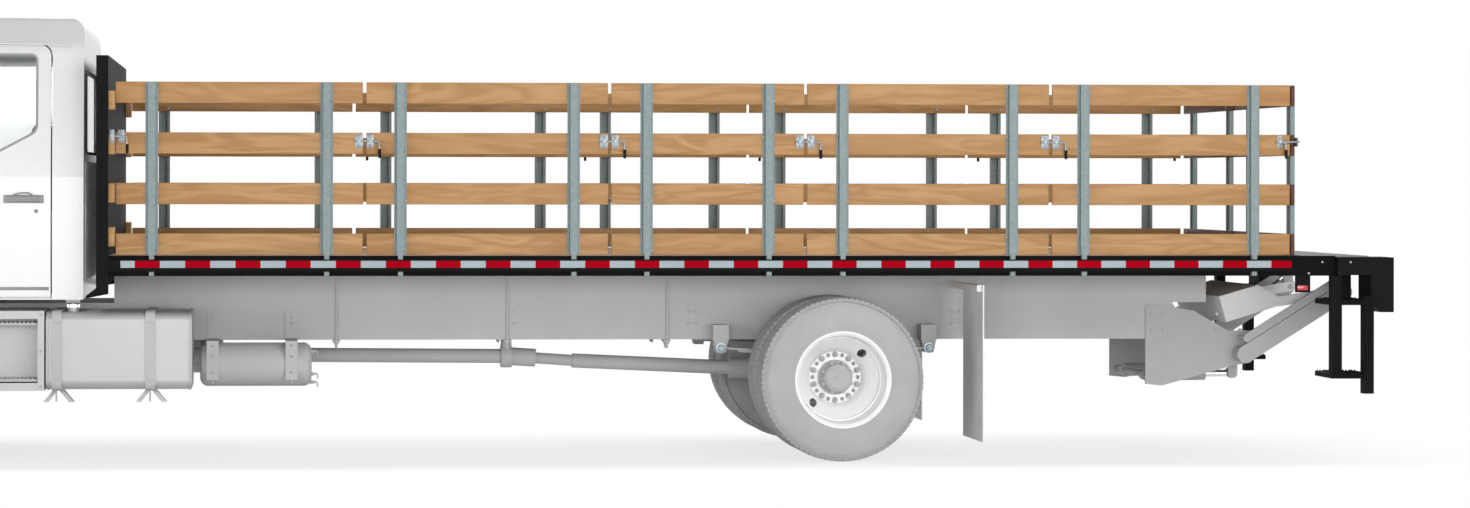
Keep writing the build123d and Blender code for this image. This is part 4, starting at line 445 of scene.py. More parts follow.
def treadPattern(name, colour):
    # raised lozenges in two directions on worn steel
    material, tree, shader, place = newMaterial(name)
    wear = useGroup(tree, surfaceWear, {"Vector": place, "Blotch Scale": 3.0, "Fleck Scale": 120.0})
    heights = []
    for turn in (pi / 4, -pi / 4):
        spun = put(tree, "ShaderNodeMapping", {"Vector": place, "Rotation": (0, 0, turn),
                                               "Scale": (26.0, 52.0, 1.0)}).outputs[0]
        cell = put(tree, "ShaderNodeTexVoronoi", {"Vector": spun, "Scale": 1.0, "Randomness": 0.0},
                   voronoi_dimensions="2D").outputs["Distance"]
        heights.append(spread(tree, cell, 0.36, 0.24))
    raised = calc(tree, "MAXIMUM", *heights)
    base = mixColour(tree, calc(tree, "MULTIPLY", raised, 0.6), colour, times(colour, 3.2))
    base = mixColour(tree, calc(tree, "MULTIPLY", wear["Blotch"], 0.3), base, times(colour, 1.6))
    tree.links.new(base, shader.inputs["Base Color"])
    shader.inputs["Metallic"].default_value = 0.5
    roughBetween(tree, shader, wear["Fleck"], 0.35, 0.55)
    bumped(tree, shader, raised, 0.5, 0.002)
    return material


def weave(name, colour):
    # three directions of fine waves multiplied into threads
    material, tree, shader, place = newMaterial(name)
    threads = [put(tree, "ShaderNodeTexWave", {"Vector": place, "Scale": 180.0, "Distortion": 0.4},
                   bands_direction=direction).outputs["Fac"] for direction in ("X", "Y", "Z")]
    flatThreads, crossThreads = calc(tree, "ADD", *threads[:2]), calc(tree, "ADD", threads[2], 0.3)
    cloth = calc(tree, "MULTIPLY", flatThreads, crossThreads)
    base = mixColour(tree, cloth, times(colour, 0.6), times(colour, 1.4))
    tree.links.new(base, shader.inputs["Base Color"])
    roughBetween(tree, shader, cloth, 0.8, 0.95)
    shader.inputs["Sheen Weight"].default_value = 0.3
    bumped(tree, shader, cloth, 0.3)
    return material


finishes = {
    "cab_white": paint("cabWhite", (0.72, 0.72, 0.725), 0.02, (0.22, 0.3), coat=0.4, bump=0.01),
    "rim_white": paint("rimWhite", (0.90, 0.90, 0.90), 0.03, (0.3, 0.42), coat=0.3),
    "chassis_grey": paint("chassisGrey", (0.50, 0.50, 0.50), 0.03, (0.6, 0.75), specular=0.2),
    "cast_grey": paint("castGrey", (0.48, 0.48, 0.48), 0.07, (0.6, 0.75), bump=0.25, grainScale=90.0,
                       specular=0.25),
    "tank_grey": paint("tankAluminium", (0.42, 0.42, 0.42), 0.03, (0.38, 0.5), metallic=0.3),
    "bed_black": paint("bedBlack", (0.0055, 0.0055, 0.006), 0.1, (0.5, 0.65), edgeColour=(0.02, 0.02, 0.02),
                       specular=0.04),
    "tread_grey": treadPattern("treadplateSteel", (0.022, 0.022, 0.023)),
    "rack_wood": wood("rackWood", (0.52, 0.305, 0.132), (0.33, 0.165, 0.058), (0.42, 0.222, 0.083)),
    "deck_wood": wood("deckWood", (0.42, 0.27, 0.14), (0.22, 0.12, 0.055), (0.30, 0.18, 0.085),
                      gloss=(0.5, 0.7)),
    "stake_zinc": zinc("stakeZinc", (0.24, 0.295, 0.30), metallic=0.0),
    "latch_zinc": zinc("latchZinc", (0.27, 0.31, 0.33), 260.0, (0.3, 0.45), 0.6),
    "tyre_rubber": rubber("tyreRubber", (0.42, 0.42, 0.42), specular=0.2),
    "flap_rubber": rubber("flapRubber", (0.80, 0.80, 0.80)),
    "glass_clear": glass("clearGlass", (0.97, 0.985, 0.985)),
    "trim_plastic": paint("trimPlastic", (0.32, 0.32, 0.325), 0.08, (0.55, 0.7), bump=0.2, grainScale=500.0,
                          specular=0.25),
    "seat_fabric": weave("seatCloth", (0.16, 0.16, 0.17)),
    "lamp_clear": glass("lampClear", (0.95, 0.96, 0.97), 0.06),
    "lamp_red": paint("lampRed", (0.50, 0.012, 0.015), 0.05, (0.15, 0.25), coat=1.0),
    "grille_grey": paint("grilleGrey", (0.22, 0.22, 0.225), 0.06, (0.4, 0.55)),
    "lift_grey": paint("liftGrey", (0.44, 0.44, 0.44), 0.06, (0.5, 0.65), specular=0.3),
    "rod_chrome": paint("rodChrome", (0.72, 0.72, 0.73), 0.03, (0.08, 0.14), metallic=1.0, bump=0.0),
}
# the rear rack's boards: a far darker copy of the side boards' wood, painted shade for boards whose inner
# faces lie in shadow
rearWoodPaintedShade = wood("rearRackWoodPaintedShade", (0.12, 0.048, 0.026), (0.055, 0.02, 0.011), (0.08, 0.03, 0.018), alongY=True)
tapeRed = paint("tapeRed", (0.37, 0.0, 0.008), 0.04, (0.5, 0.6), grainScale=900.0, bump=0.1, specular=0.02)
tapeSilver = paint("tapeSilver", (0.36, 0.43, 0.45), 0.05, (0.4, 0.5), grainScale=900.0, bump=0.1,
                   specular=0.2)
gripBlack = rubber("gripBlack", (0.008, 0.008, 0.009), specular=0.15)
sealGrey = rubber("sealGrey", (0.33, 0.33, 0.335))
mirrorGlass = paint("mirrorGlass", (0.85, 0.87, 0.88), 0.01, (0.02, 0.04), metallic=1.0, bump=0.0)
reflector = paint("lampReflector", (0.88, 0.88, 0.88), 0.01, (0.06, 0.1), metallic=1.0, bump=0.0)
lampAmber = paint("lampAmber", (0.80, 0.22, 0.01), 0.04, (0.15, 0.25), coat=0.8)
plateWhite = paint("plateWhite", (0.72, 0.72, 0.72), 0.03, (0.35, 0.45))
# the lift platform: a paler copy of the lift grey, painted light on a platform that lies in shade under the
# deck
liftPlatformPaintedLight = paint("liftPlatformGreyPaintedLight", (0.72, 0.72, 0.72), 0.04, (0.5, 0.65), specular=0.3)

slotOf = {row["node"]: row["material_slot"] for row in frame["record"]["subparts"]}
# the lift platform takes the paler grey with its painted light; every other part takes its slot's finish
for name, node in nodes.items():
    for spot in node.material_slots:
        spot.material = liftPlatformPaintedLight if name == "lift_platform" else finishes[slotOf[name]]
print("materials done")


# Racks

rack = {
    "frontX": -2.479, "rearX": 4.781, "gap": 0.017,
    # each section's rear end, and its two stakes
    "sections": [(-0.964, -2.259, -1.196), (0.538, -0.746, 0.316), (1.749, 0.765, 1.519),
                 (3.276, 1.977, 3.034), (4.781, 3.481, 4.549)],
    "firstZ": 1.277, "pitch": 0.308, "height": 0.130, "thickness": 0.022, "outerY": 1.1777,
    "edge": 0.003, "rearX0": 4.798, "rearHalf": 1.150, "rearStakes": (0.215, 1.030),
}
slatZ = rack["firstZ"] + rack["pitch"] * np.arange(4)


def sideBoards():
    # one bevelled board for each height in each section, its ends a few millimetres off line
    rows = []
    front = rack["frontX"]
    for rear, _, _ in rack["sections"]:
        for z in slatZ:
            near = front + (0 if front == rack["frontX"] else rack["gap"] / 2)
            far = rear - (0 if rear == rack["rearX"] else rack["gap"] / 2)
            ends = rng.uniform(0, 0.004, 2)
            rows.append((near + ends[0], far - ends[1], -rack["outerY"], -rack["outerY"] + rack["thickness"],
                         z, z + rack["height"]))
        front = rear
    return rows


def boardPiece(name, rows, axis, material, replaced=(), both=False):
    part = softBoxes(rows, rack["edge"], axis)
    if both:
        part = bothSides(part)
    count = len(rows) * (2 if both else 1)
    return addPiece(name, "chassis", material, part, replaced, sharp=50,
                    values=np.repeat(rng.uniform(0.05, 1.0, count), len(part[0]) // count))


boardPiece("rackSideBoards", sideBoards(), "x", finishes["rack_wood"], ["side_slats"], both=True)
rearRows = [(rack["rearX0"], rack["rearX0"] + rack["thickness"], low, high, z, z + rack["height"])
            for low, high in ((-rack["rearHalf"], -rack["gap"] / 2), (rack["gap"] / 2, rack["rearHalf"]))
            for z in slatZ]
# the rear boards take the darker wood with its painted shade
boardPiece("rackRearBoards", rearRows, "y", rearWoodPaintedShade, ["rear_slats"])

deck = {"boards": 14, "gap": 0.003, "frontX": -2.521, "rearX": 4.8074, "topZ": 1.272, "thickness": 0.030,
        "half": 1.1711, "firstSill": -2.496, "sillPitch": 0.4189, "sills": 18}
plankPitch = (2 * deck["half"] + deck["gap"]) / deck["boards"]
plankY = -deck["half"] + plankPitch * np.arange(deck["boards"])
boardPiece("deckPlanks", [(deck["frontX"], deck["rearX"], y, y + plankPitch - deck["gap"],
                           deck["topZ"] - deck["thickness"], deck["topZ"]) for y in plankY],
           "x", finishes["deck_wood"], ["deck_boards"])
screwPlaces = [(deck["firstSill"] + deck["sillPitch"] * i + 0.01, y + plankPitch * share, deck["topZ"])
               for i in range(deck["sills"]) for y in plankY for share in (0.25, 0.75)]
addPiece("deckScrews", "chassis", finishes["latch_zinc"],
         heads(screwPlaces, "z", [(0.0065, -0.0005), (0.006, 0.0004), (0.002, 0.0004), (0.0018, 0.0001)], 8))

# the wooden blocks on the bulkhead that the front ends of the boards butt against
block = {"x": (-2.5215, -2.482), "y": (-1.205, -1.120), "half": 0.058, "z": (2.217, 1.946, 1.654, 1.388)}
blockRows = [(*block["x"], *block["y"], z - block["half"], z + block["half"]) for z in block["z"]]
boardPiece("bulkheadBlocks", blockRows, "x", finishes["rack_wood"], both=True)

domeBolt = [(0.0055, -0.001), (0.0085, 0.0), (0.0085, 0.0015), (0.0065, 0.0045), (0.0025, 0.0058)]
hexBolt = [(0.014, -0.001), (0.014, 0.002), (0.0105, 0.0022), (0.0105, 0.0085), (0.0085, 0.010)]


def rackBolts():
    # two carriage bolts where a stake crosses a slat: high on one flange, low on the other, and domes inside
    outside, inside = [], []
    for _, first, second in rack["sections"]:
        for x in (first, second):
            for z in slatZ:
                for side, height in ((-1, rack["height"] - 0.022), (1, 0.022)):
                    outside.append((x + side * 0.031, -rack["outerY"] - 0.003, z + height))
                    inside.append((x + side * 0.031, -rack["outerY"] + rack["thickness"], z + height))
    return heads(outside, "-y", domeBolt), heads(inside, "y", domeBolt)


def rearRackBolts():
    outside, inside = [], []
    x = rack["rearX0"] + rack["thickness"]
    for y in rack["rearStakes"]:
        for z in slatZ:
            for side, height in ((-1, rack["height"] - 0.022), (1, 0.022)):
                outside.append((x + 0.003, -y + side * 0.031, z + height))
                inside.append((rack["rearX0"], -y + side * 0.031, z + height))
    return heads(outside, "x", domeBolt), heads(inside, "-x", domeBolt)


addPiece("rackBolts", "chassis", finishes["latch_zinc"], bothSides(*rackBolts(), *rearRackBolts()))

# Latches between the rack sections: two bolted plates, a sliding rod and a turned-down grip
latch = {
    "xs": (-0.964, 0.538, 1.749, 3.276), "z": 1.972, "faceY": -1.1777, "rodY": -1.1905, "rod": 0.0062,
    "plateHalf": 0.040, "gauge": 0.004, "gripLength": 0.052, "drop": 0.098,
    # from the joint between two sections: each plate's ends and the rod's ends
    "plates": ((-0.060, -0.011), (0.011, 0.055)), "reach": (-0.062, 0.088),
    # at the bulkhead: the block's plate, the board's plate, the rod's ends and its keeper
    "frontZ": 1.998, "frontPlates": ((-2.512, -2.484), (-2.462, -2.424)), "frontReach": (-2.515, -2.408),
    "frontRodY": -1.2155, "keeper": (-2.455, -2.431, -1.214, -1.180, 1.988, 2.008),
    # at the rear rack: the board's plate, the handle's ends, the long rod and the rear rack's plate
    "rearZ": 1.978, "rearPlate": (4.700, 4.732), "rearReach": (4.690, 4.748), "rearRod": (4.740, 4.839),
    "rearKeeper": (4.8205, 4.8245, -1.202, -1.085, 1.950, 2.006),
}


def latchBracket(x0, x1, z, y):
    # a plate with two bolts and the eye its rod slides in
    middle = (x0 + x1) / 2
    plate = softBoxes([(x0, x1, y - latch["gauge"], y, z - latch["plateHalf"], z + latch["plateHalf"]),
                       (middle - 0.010, middle + 0.010, y - 0.022, y - 0.003, z - 0.012, z + 0.012)], 0.0012)
    bolts = heads([(middle, y - latch["gauge"], z + side * 0.027) for side in (-1, 1)], "-y", domeBolt, 10)
    return plate, bolts


def latchRod(x0, x1, z, y):
    rod = pathTube([(x0, y, z), (x1 - 0.02, y, z), (x1, y - 0.003, z - 0.004), (x1, y - 0.008, z - 0.03),
                    (x1 + 0.002, y - 0.010, z - latch["drop"])], latch["rod"])
    foot = z - latch["drop"] - 0.006
    grip = [(0.006, 0.0), (0.009, 0.003), (0.0095, latch["gripLength"]), (0.007, latch["gripLength"] + 0.004)]
    return rod, heads([(x1 + 0.002, y - 0.010, foot)], "z", grip, 12)


def allLatches():
    metal, grips = [], []
    z, faceY, rodY = latch["z"], latch["faceY"], latch["rodY"]
    for x in latch["xs"]:
        for x0, x1 in latch["plates"]:
            metal += latchBracket(x + x0, x + x1, z, faceY)
        rod, grip = latchRod(x + latch["reach"][0], x + latch["reach"][1], z, rodY)
        metal.append(rod)
        grips.append(grip)
    # the front one holds the first board to the block, the rear one the last board to the rear rack
    for ends, plateY in zip(latch["frontPlates"], (block["y"][0], faceY)):
        metal += latchBracket(*ends, latch["frontZ"], plateY)
    metal.append(softBoxes([latch["keeper"]], 0.001))
    rod, grip = latchRod(*latch["frontReach"], latch["frontZ"], latch["frontRodY"])
    metal.append(rod)
    grips.append(grip)
    z = latch["rearZ"]
    metal += latchBracket(*latch["rearPlate"], z, faceY)
    rod, grip = latchRod(*latch["rearReach"], z, rodY)
    longRod = pathTube([(x, rodY, z) for x in latch["rearRod"]], latch["rod"], smooth=0)
    metal += [rod, longRod, softBoxes([latch["rearKeeper"]], 0.001)]
    grips.append(grip)
    return joined(*metal), joined(*grips)


latchMetal, latchGrips = allLatches()
addPiece("rackLatchMetal", "chassis", finishes["latch_zinc"], bothSides(latchMetal),
         ["rack_latches"])
addPiece("rackLatchGrips", "chassis", gripBlack, bothSides(latchGrips))
print("racks done")


# Reflective tape

tape = {"lowZ": 1.199, "highZ": 1.242, "frontX": -2.446, "firstRedX": -2.360, "block": 0.1524,
        "rearX": 4.779, "face": 1.219, "proud": 0.0006, "sunk": 0.0008}


def tapeBlocks(red):
    # every other block of the strip, as thin plates on the rub rail's face
    starts = tape["firstRedX"] + tape["block"] * np.arange(-1, 48)
    rows = []
    outer, inner = -tape["face"] - tape["proud"], -tape["face"] + tape["sunk"]
    for i, start in enumerate(starts):
        low, high = max(start, tape["frontX"]), min(start + tape["block"], tape["rearX"])
        if high - low > 0.002 and (i % 2 == 1) == red:
            rows.append((low, high, outer, inner, tape["lowZ"], tape["highZ"]))
    return bothSides(softBoxes(rows, 0.0003, "x", 1))


addPiece("tapeRedBlocks", "chassis", tapeRed, tapeBlocks(True))
addPiece("tapeSilverBlocks", "chassis", tapeSilver, tapeBlocks(False))
print("tape done")


# Wheels

tyre = {"radius": 0.508, "beadRadius": 0.2863, "halfBead": 0.1115, "half": 0.135, "shoulderRadius": 0.482,
        "grooves": (-0.066, -0.024, 0.024, 0.066), "grooveHalf": 0.0045, "grooveDepth": 0.013, "notches": 88,
        # the notches' depth, and their share of it over four rings of the shoulder
        "notchDepth": 0.008, "notchShares": (0.3, 0.6, 1.0, 0.5),
        # raised rings on the wall, as radius and height
        "rings": ((0.302, 0.0030), (0.330, 0.0016), (0.392, 0.0012), (0.458, 0.0016))}


def tyreProfile():
    # from one bead up the wall, over the crown with its grooves, and back down: radius, y and notch share
    share = np.linspace(0, 1, 40)
    wallR = tyre["beadRadius"] + (tyre["shoulderRadius"] - tyre["beadRadius"]) * share
    bulge = np.sin(pi * np.clip((share + 0.08) / 1.02, 0, 1)) ** 0.7
    wallY = tyre["halfBead"] + (tyre["half"] - tyre["halfBead"] - 0.003) * bulge
    for radius, height in tyre["rings"]:
        wallY = wallY + height * np.exp(-((wallR - radius) / 0.0045) ** 2)
    wallY = np.minimum(wallY, tyre["half"])
    wallY[-1] = 0.123
    edges = [0.109, 0.1, 0.088]
    for centre in sorted(tyre["grooves"], reverse=True):
        h = tyre["grooveHalf"]
        edges += [centre + h + 0.0008, centre + h, centre - h, centre - h - 0.0008, centre - 0.021]
    edges = np.array(sorted(set(np.round(edges[:-1] + [-0.088, -0.1, -0.109], 5)), reverse=True))
    crown = tyre["radius"] - 0.005 * (edges / 0.109) ** 2
    distance = np.min(np.abs(edges[:, None] - np.array(tyre["grooves"])[None]), axis=1)
    crown = np.where(distance < tyre["grooveHalf"] + 1e-5, crown - tyre["grooveDepth"], crown)
    radius = np.concatenate([wallR, crown, wallR[::-1]])
    across = np.concatenate([wallY, edges, -wallY[::-1]])
    notch = np.zeros_like(radius)
    for step, depth in enumerate(tyre["notchShares"]):
        notch[38 + step], notch[-39 - step] = depth, depth
    return radius, across, notch


def tyreSurface(x, y):
    # the profile carried round the axle, with shallow notches cut in both shoulders at even turns
    radius, across, notch = tyreProfile()
    around = tyre["notches"] * 4
    angle = np.linspace(0, 2 * pi, around, endpoint=False)
    beat = (np.arange(around) % 4 < 1).astype(float)
    r = radius[:, None] - tyre["notchDepth"] * notch[:, None] * beat
    points = np.stack([x + r * np.cos(angle), y + across[:, None] + 0 * angle,
                       np.maximum(0.0, tyre["radius"] + r * np.sin(angle))], -1)
    return points.reshape(-1, 3), gridFaces(len(radius), around, True, True).tolist()


wheels = {"frontX": -4.443, "rearX": 1.983, "frontDiscY": -1.153, "rearDiscY": -0.905, "offset": 0.168,
          "rearCentres": (-1.061, -0.725), "studCircle": 0.1429, "studs": 10, "z": 0.508}
frontX, rearX = wheels["frontX"], wheels["rearX"]
frontTread = tyreSurface(frontX, wheels["frontDiscY"] + wheels["offset"])
rearTreads = joined(*[tyreSurface(rearX, y) for y in wheels["rearCentres"]])
addPair("frontTyre", "front_wheel_*", finishes["tyre_rubber"], frontTread, "front_tyre_*", 28)
addPair("rearTyres", "rear_wheels_*", finishes["tyre_rubber"], rearTreads, "rear_tyres_*", 28)

wheelNut = [(0.0165, -0.001), (0.0185, 0.003), (0.0165, 0.006), (0.0165, 0.02), (0.0135, 0.0235),
            (0.0085, 0.0236), (0.0085, 0.034), (0.007, 0.036)]
hubStud = [(0.011, -0.030), (0.011, 0.008), (0.008, 0.0125)]
capBolt = [(0.0075, -0.002), (0.0075, 0.003), (0.006, 0.0045)]
pressedCap = [(0.068, -0.004), (0.068, 0.0), (0.062, 0.004), (0.054, 0.004), (0.050, 0.0015),
              (0.020, 0.0015), (0.018, 0.006), (0.012, 0.007)]


def boltRing(x, faceY, radius, count, profile, sides=12):
    angle = 2 * pi * (np.arange(count) + 0.5) / count
    across, up = x + radius * np.cos(angle), wheels["z"] + radius * np.sin(angle)
    return heads(np.stack([across, faceY + 0 * angle, up], -1), "-y", profile, sides)


def hubPlate(x, faceY):
    # a pressed cap on the hub's end: a raised rim, a dished middle and a plug
    return heads([(x, faceY, wheels["z"])], "-y", pressedCap, 48)


def valveStem(x, faceY, lean):
    a = radians(lean)
    base = np.array([x + 0.232 * cos(a), faceY + 0.028, wheels["z"] + 0.232 * sin(a)])
    return pathTube([base, base + (0, -0.02, 0), base + (-0.03 * cos(a), -0.045, -0.03 * sin(a))], 0.004, 8)


# each hub: where its small bolts stand, their circle, its end face, and the valve's foot and angle
hub = {"front": {"boltY": -1.203, "circle": 0.077, "endY": -1.2151, "valve": (-1.085, 225)},
       "rear": {"boltY": -0.985, "circle": 0.0935, "endY": -1.0151, "valve": (-0.975, 45)}}
addPair("frontWheelNuts", "front_wheel_*", finishes["cast_grey"], joined(
    boltRing(frontX, wheels["frontDiscY"], wheels["studCircle"], wheels["studs"], wheelNut),
    boltRing(frontX, hub["front"]["boltY"], hub["front"]["circle"], 8, capBolt),
    hubPlate(frontX, hub["front"]["endY"])))
addPair("rearWheelNuts", "rear_wheels_*", finishes["cast_grey"], joined(
    boltRing(rearX, wheels["rearDiscY"], wheels["studCircle"], wheels["studs"], wheelNut),
    boltRing(rearX, hub["rear"]["boltY"], hub["rear"]["circle"], 8, hubStud, 8),
    hubPlate(rearX, hub["rear"]["endY"])))
addPair("frontValve", "front_wheel_*", gripBlack, valveStem(frontX, *hub["front"]["valve"]))
addPair("rearValve", "rear_wheels_*", gripBlack, valveStem(rearX, *hub["rear"]["valve"]))
print("wheels done")


# Cab

cab = {"rearX": -2.680, "half": 1.040, "waist": 1.750, "lean": 0.06875, "screenFoot": (-4.170, 1.790),
       "screenSlope": 0.6441, "screenNormal": np.array((-0.8407, 0.0, 0.5415)),
       "doorWindow": [(-2.965, 2.030), (-2.965, 2.500), (-3.580, 2.500), (-3.735, 2.170), (-3.735, 1.680),
                      (-3.475, 1.760), (-3.095, 1.960)]}


def onSkin(xz, proud=0.0):
    # points on the cab's left side wall, which leans in above the waist
    xz = np.asarray(xz, float)
    y = cab["half"] - cab["lean"] * np.maximum(0.0, xz[:, 1] - cab["waist"]) + proud
    return np.stack([xz[:, 0], -y, xz[:, 1]], -1)


def onScreen(yz, proud=0.0):
    # points on the windscreen's plane
    yz = np.asarray(yz, float)
    x = cab["screenFoot"][0] + (yz[:, 1] - cab["screenFoot"][1]) * cab["screenSlope"]
    return np.stack([x, yz[:, 0], yz[:, 1]], -1) + proud * cab["screenNormal"]


addPair("doorWindowSeal", "door_*_body", sealGrey,
        loopTube(onSkin(roundedLoop(cab["doorWindow"], 0.040)), 0.0075, (0, -1, 0.06), flat=0.5))
rearGlass = roundedLoop([(-0.700, 1.900), (0.700, 1.900), (0.700, 2.409), (-0.700, 2.409)], 0.05)
rearGlass = np.stack([cab["rearX"] + 0 * rearGlass[:, 0], rearGlass[:, 0], rearGlass[:, 1]], -1)
frontGlass = roundedLoop([(-0.880, 1.86), (0.880, 1.86), (0.800, 2.54), (-0.800, 2.54)], 0.06)
addPiece("fixedWindowSeals", "chassis", sealGrey, joined(
    loopTube(rearGlass, 0.009, (1, 0, 0), flat=0.6),
    loopTube(onScreen(frontGlass), 0.010, cab["screenNormal"], flat=0.6)))


# each wiper as points across and up the screen: its pivot, and its blade's ends and middle
wipers = {"pivots": ((-0.12, 1.822), (0.66, 1.822)), "bladeFrom": (-0.62, 1.897), "bladeTo": (0.0, 1.905),
          "bladeMiddle": (-0.31, 1.901), "rise": 0.045, "armProud": 0.018, "bladeProud": 0.012,
          "armRadius": 0.0055, "bladeRadius": 0.006, "boss": [(0.016, -0.01), (0.016, 0.014), (0.010, 0.020)]}


def wiper(pivot):
    y, z = pivot
    ends = [(y + dy, bladeZ) for dy, bladeZ in (wipers["bladeFrom"], wipers["bladeTo"])]
    middle = (y + wipers["bladeMiddle"][0], wipers["bladeMiddle"][1])
    elbow = ((y + ends[0][0]) / 2, z + wipers["rise"])
    arm = pathTube(onScreen([pivot, elbow, middle], wipers["armProud"]), wipers["armRadius"], 8)
    strip = pathTube(onScreen(ends, wipers["bladeProud"]), wipers["bladeRadius"], 6, 0)
    return joined(arm, strip, heads(onScreen([pivot]), "-x", wipers["boss"], 16))


addPiece("wipers", "chassis", gripBlack, joined(*[wiper(pivot) for pivot in wipers["pivots"]]))

# pressed ribs down the cab's rear wall, and a gutter along each side of its roof
rib = {"y": np.linspace(-0.91, 0.91, 15), "half": 0.014, "x": (-0.002, 0.012), "z": (1.115, 1.845)}
ribs = [(cab["rearX"] + rib["x"][0], cab["rearX"] + rib["x"][1], y - rib["half"], y + rib["half"], *rib["z"])
        for y in rib["y"]]
addPiece("cabRearRibs", "chassis", finishes["cab_white"], softBoxes(ribs, 0.004, "z"))
dripRail = {"radius": 0.006, "path": [(-3.640, -0.986, 2.545), (-3.560, -0.9895, 2.566),
                                      (-2.850, -0.9895, 2.566), (-2.760, -0.988, 2.545)]}
addPiece("dripRails", "chassis", finishes["cab_white"],
         bothSides(pathTube(dripRail["path"], dripRail["radius"])))

# on the left door: the pull with its raised thumb piece, the plate behind it, the foot strip and the lock
doorPull = {"bar": (-3.153, -2.930, -1.0715, -1.0545, 1.600, 1.630), "thumbRadius": 0.005,
            "thumb": [(-3.120, -1.062, 1.630), (-3.085, -1.064, 1.650), (-3.010, -1.064, 1.655),
                      (-2.985, -1.062, 1.632)]}
addPair("doorPulls", "door_*_body", finishes["trim_plastic"], joined(
    softBoxes([doorPull["bar"]], 0.008, "x", 3), pathTube(doorPull["thumb"], doorPull["thumbRadius"], 8)))
doorPlates = {"behindPull": (-3.166, -2.922, -1.0425, -1.0395, 1.590, 1.640),
              "foot": (-3.790, -2.890, -1.0445, -1.0395, 1.058, 1.078), "lock": (-2.968, -1.0395, 1.541),
              "lockRings": [(0.013, -0.001), (0.013, 0.002), (0.010, 0.003), (0.004, 0.003), (0.004, 0.001)]}
addPair("doorTrim", "door_*_body", finishes["trim_plastic"], joined(
    softBoxes([doorPlates["behindPull"], doorPlates["foot"]], 0.001),
    heads([doorPlates["lock"]], "-y", doorPlates["lockRings"], 20)))

# the mirror's flat pane above and its round-view pane below, each in a beaded edge
mirror = {"x": (-3.792, -3.7885), "y": (-1.347, -1.203), "z": ((1.945, 2.157), (1.803, 1.925)),
          "beadX": -3.7895, "beadRadius": 0.0045, "grow": 0.005, "corner": 0.015}
addPair("mirrorPanes", "door_*_body", mirrorGlass, softBoxes(
    [(*mirror["x"], *mirror["y"], *z) for z in mirror["z"]], 0.0012))


def flatLoop(y0, y1, z0, z1, x, radius):
    # a rounded rectangle across the truck at one place along it
    loop = roundedLoop([(y0, z0), (y1, z0), (y1, z1), (y0, z1)], radius)
    return np.stack([x + 0 * loop[:, 0], loop[:, 0], loop[:, 1]], -1)


grow = mirror["grow"]
addPair("mirrorShells", "door_*_body", finishes["trim_plastic"], joined(*[
    loopTube(flatLoop(mirror["y"][0] - grow, mirror["y"][1] + grow, z0 - grow, z1 + grow, mirror["beadX"],
                      mirror["corner"]), mirror["beadRadius"], (1, 0, 0)) for z0, z1 in mirror["z"]]))

roofLamps = {"box": (-0.016, 0.016, -0.045, 0.045, -0.004, 0.020), "z": 2.630, "tilt": -57.2,
             "y": (-0.64, -0.15, 0.0, 0.15, 0.64)}
roofLamp = softBoxes([roofLamps["box"]], 0.006, "y", 3)
lampSpots = onScreen([(y, roofLamps["z"]) for y in roofLamps["y"]])
addPiece("roofMarkerLamps", "chassis", lampAmber,
         joined(*[tilted(roofLamp, spot, roofLamps["tilt"]) for spot in lampSpots]))

# what the driver sees: three gauges on the binnacle, a second panel, three vents, pedals and sun visors
dash = {"tilt": 34.5, "x": -3.872, "gaugeY": (-0.66, -0.54, -0.42), "gaugeZ": 1.7095, "panelZ": 1.707,
        "gauge": [(0.046, -0.004), (0.046, 0.006), (0.041, 0.009), (0.038, 0.004), (0.004, 0.004),
                  (0.004, 0.008)],
        "binnacle": (-0.085, 0.075, -0.20, 0.20, -0.004, 0.004),
        "panel": (-0.05, 0.05, -0.17, 0.17, -0.004, 0.006),
        "ventX": (-3.800, -3.785), "ventY": (-0.25, 0.25, 0.75), "ventHalf": 0.07, "ventZ": (1.53, 1.60)}
gauge = heads([(0, 0, 0)], "z", dash["gauge"], 24)
panels = [tilted(softBoxes([dash[label]], 0.003, "y"), (dash["x"], y, dash["panelZ"]), dash["tilt"])
          for label, y in (("binnacle", dash["gaugeY"][1]), ("panel", 0.02))]
vents = [(*dash["ventX"], y - dash["ventHalf"], y + dash["ventHalf"], *dash["ventZ"]) for y in dash["ventY"]]
addPiece("gauges", "chassis", finishes["trim_plastic"], joined(
    *[tilted(gauge, (dash["x"], y, dash["gaugeZ"]), dash["tilt"]) for y in dash["gaugeY"]],
    *panels, softBoxes(vents, 0.003)))
pedal = {"x": (-3.905, -3.885), "y": ((-0.66, -0.60), (-0.50, -0.42)), "z": (1.13, 1.20), "armRadius": 0.008,
         "arm": ((-4.05, 1.40), (-3.94, 1.25), (-3.895, 1.17))}
pedalArms = [pathTube([(x, sum(y) / 2, z) for x, z in pedal["arm"]], pedal["armRadius"], 8)
             for y in pedal["y"]]
addPiece("pedals", "chassis", gripBlack, joined(
    softBoxes([(*pedal["x"], *y, *pedal["z"]) for y in pedal["y"]], 0.004), *pedalArms))
visor = {"x": (-3.60, -3.45), "y": (-0.42, 0.42), "half": 0.26, "z": (2.560, 2.578)}
addPiece("sunVisors", "chassis", finishes["trim_plastic"], softBoxes(
    [(*visor["x"], y - visor["half"], y + visor["half"], *visor["z"]) for y in visor["y"]], 0.006, "y"))
print("cab done")


# Seats: each cushion is remeshed, blown up as cloth and capped, then stitched

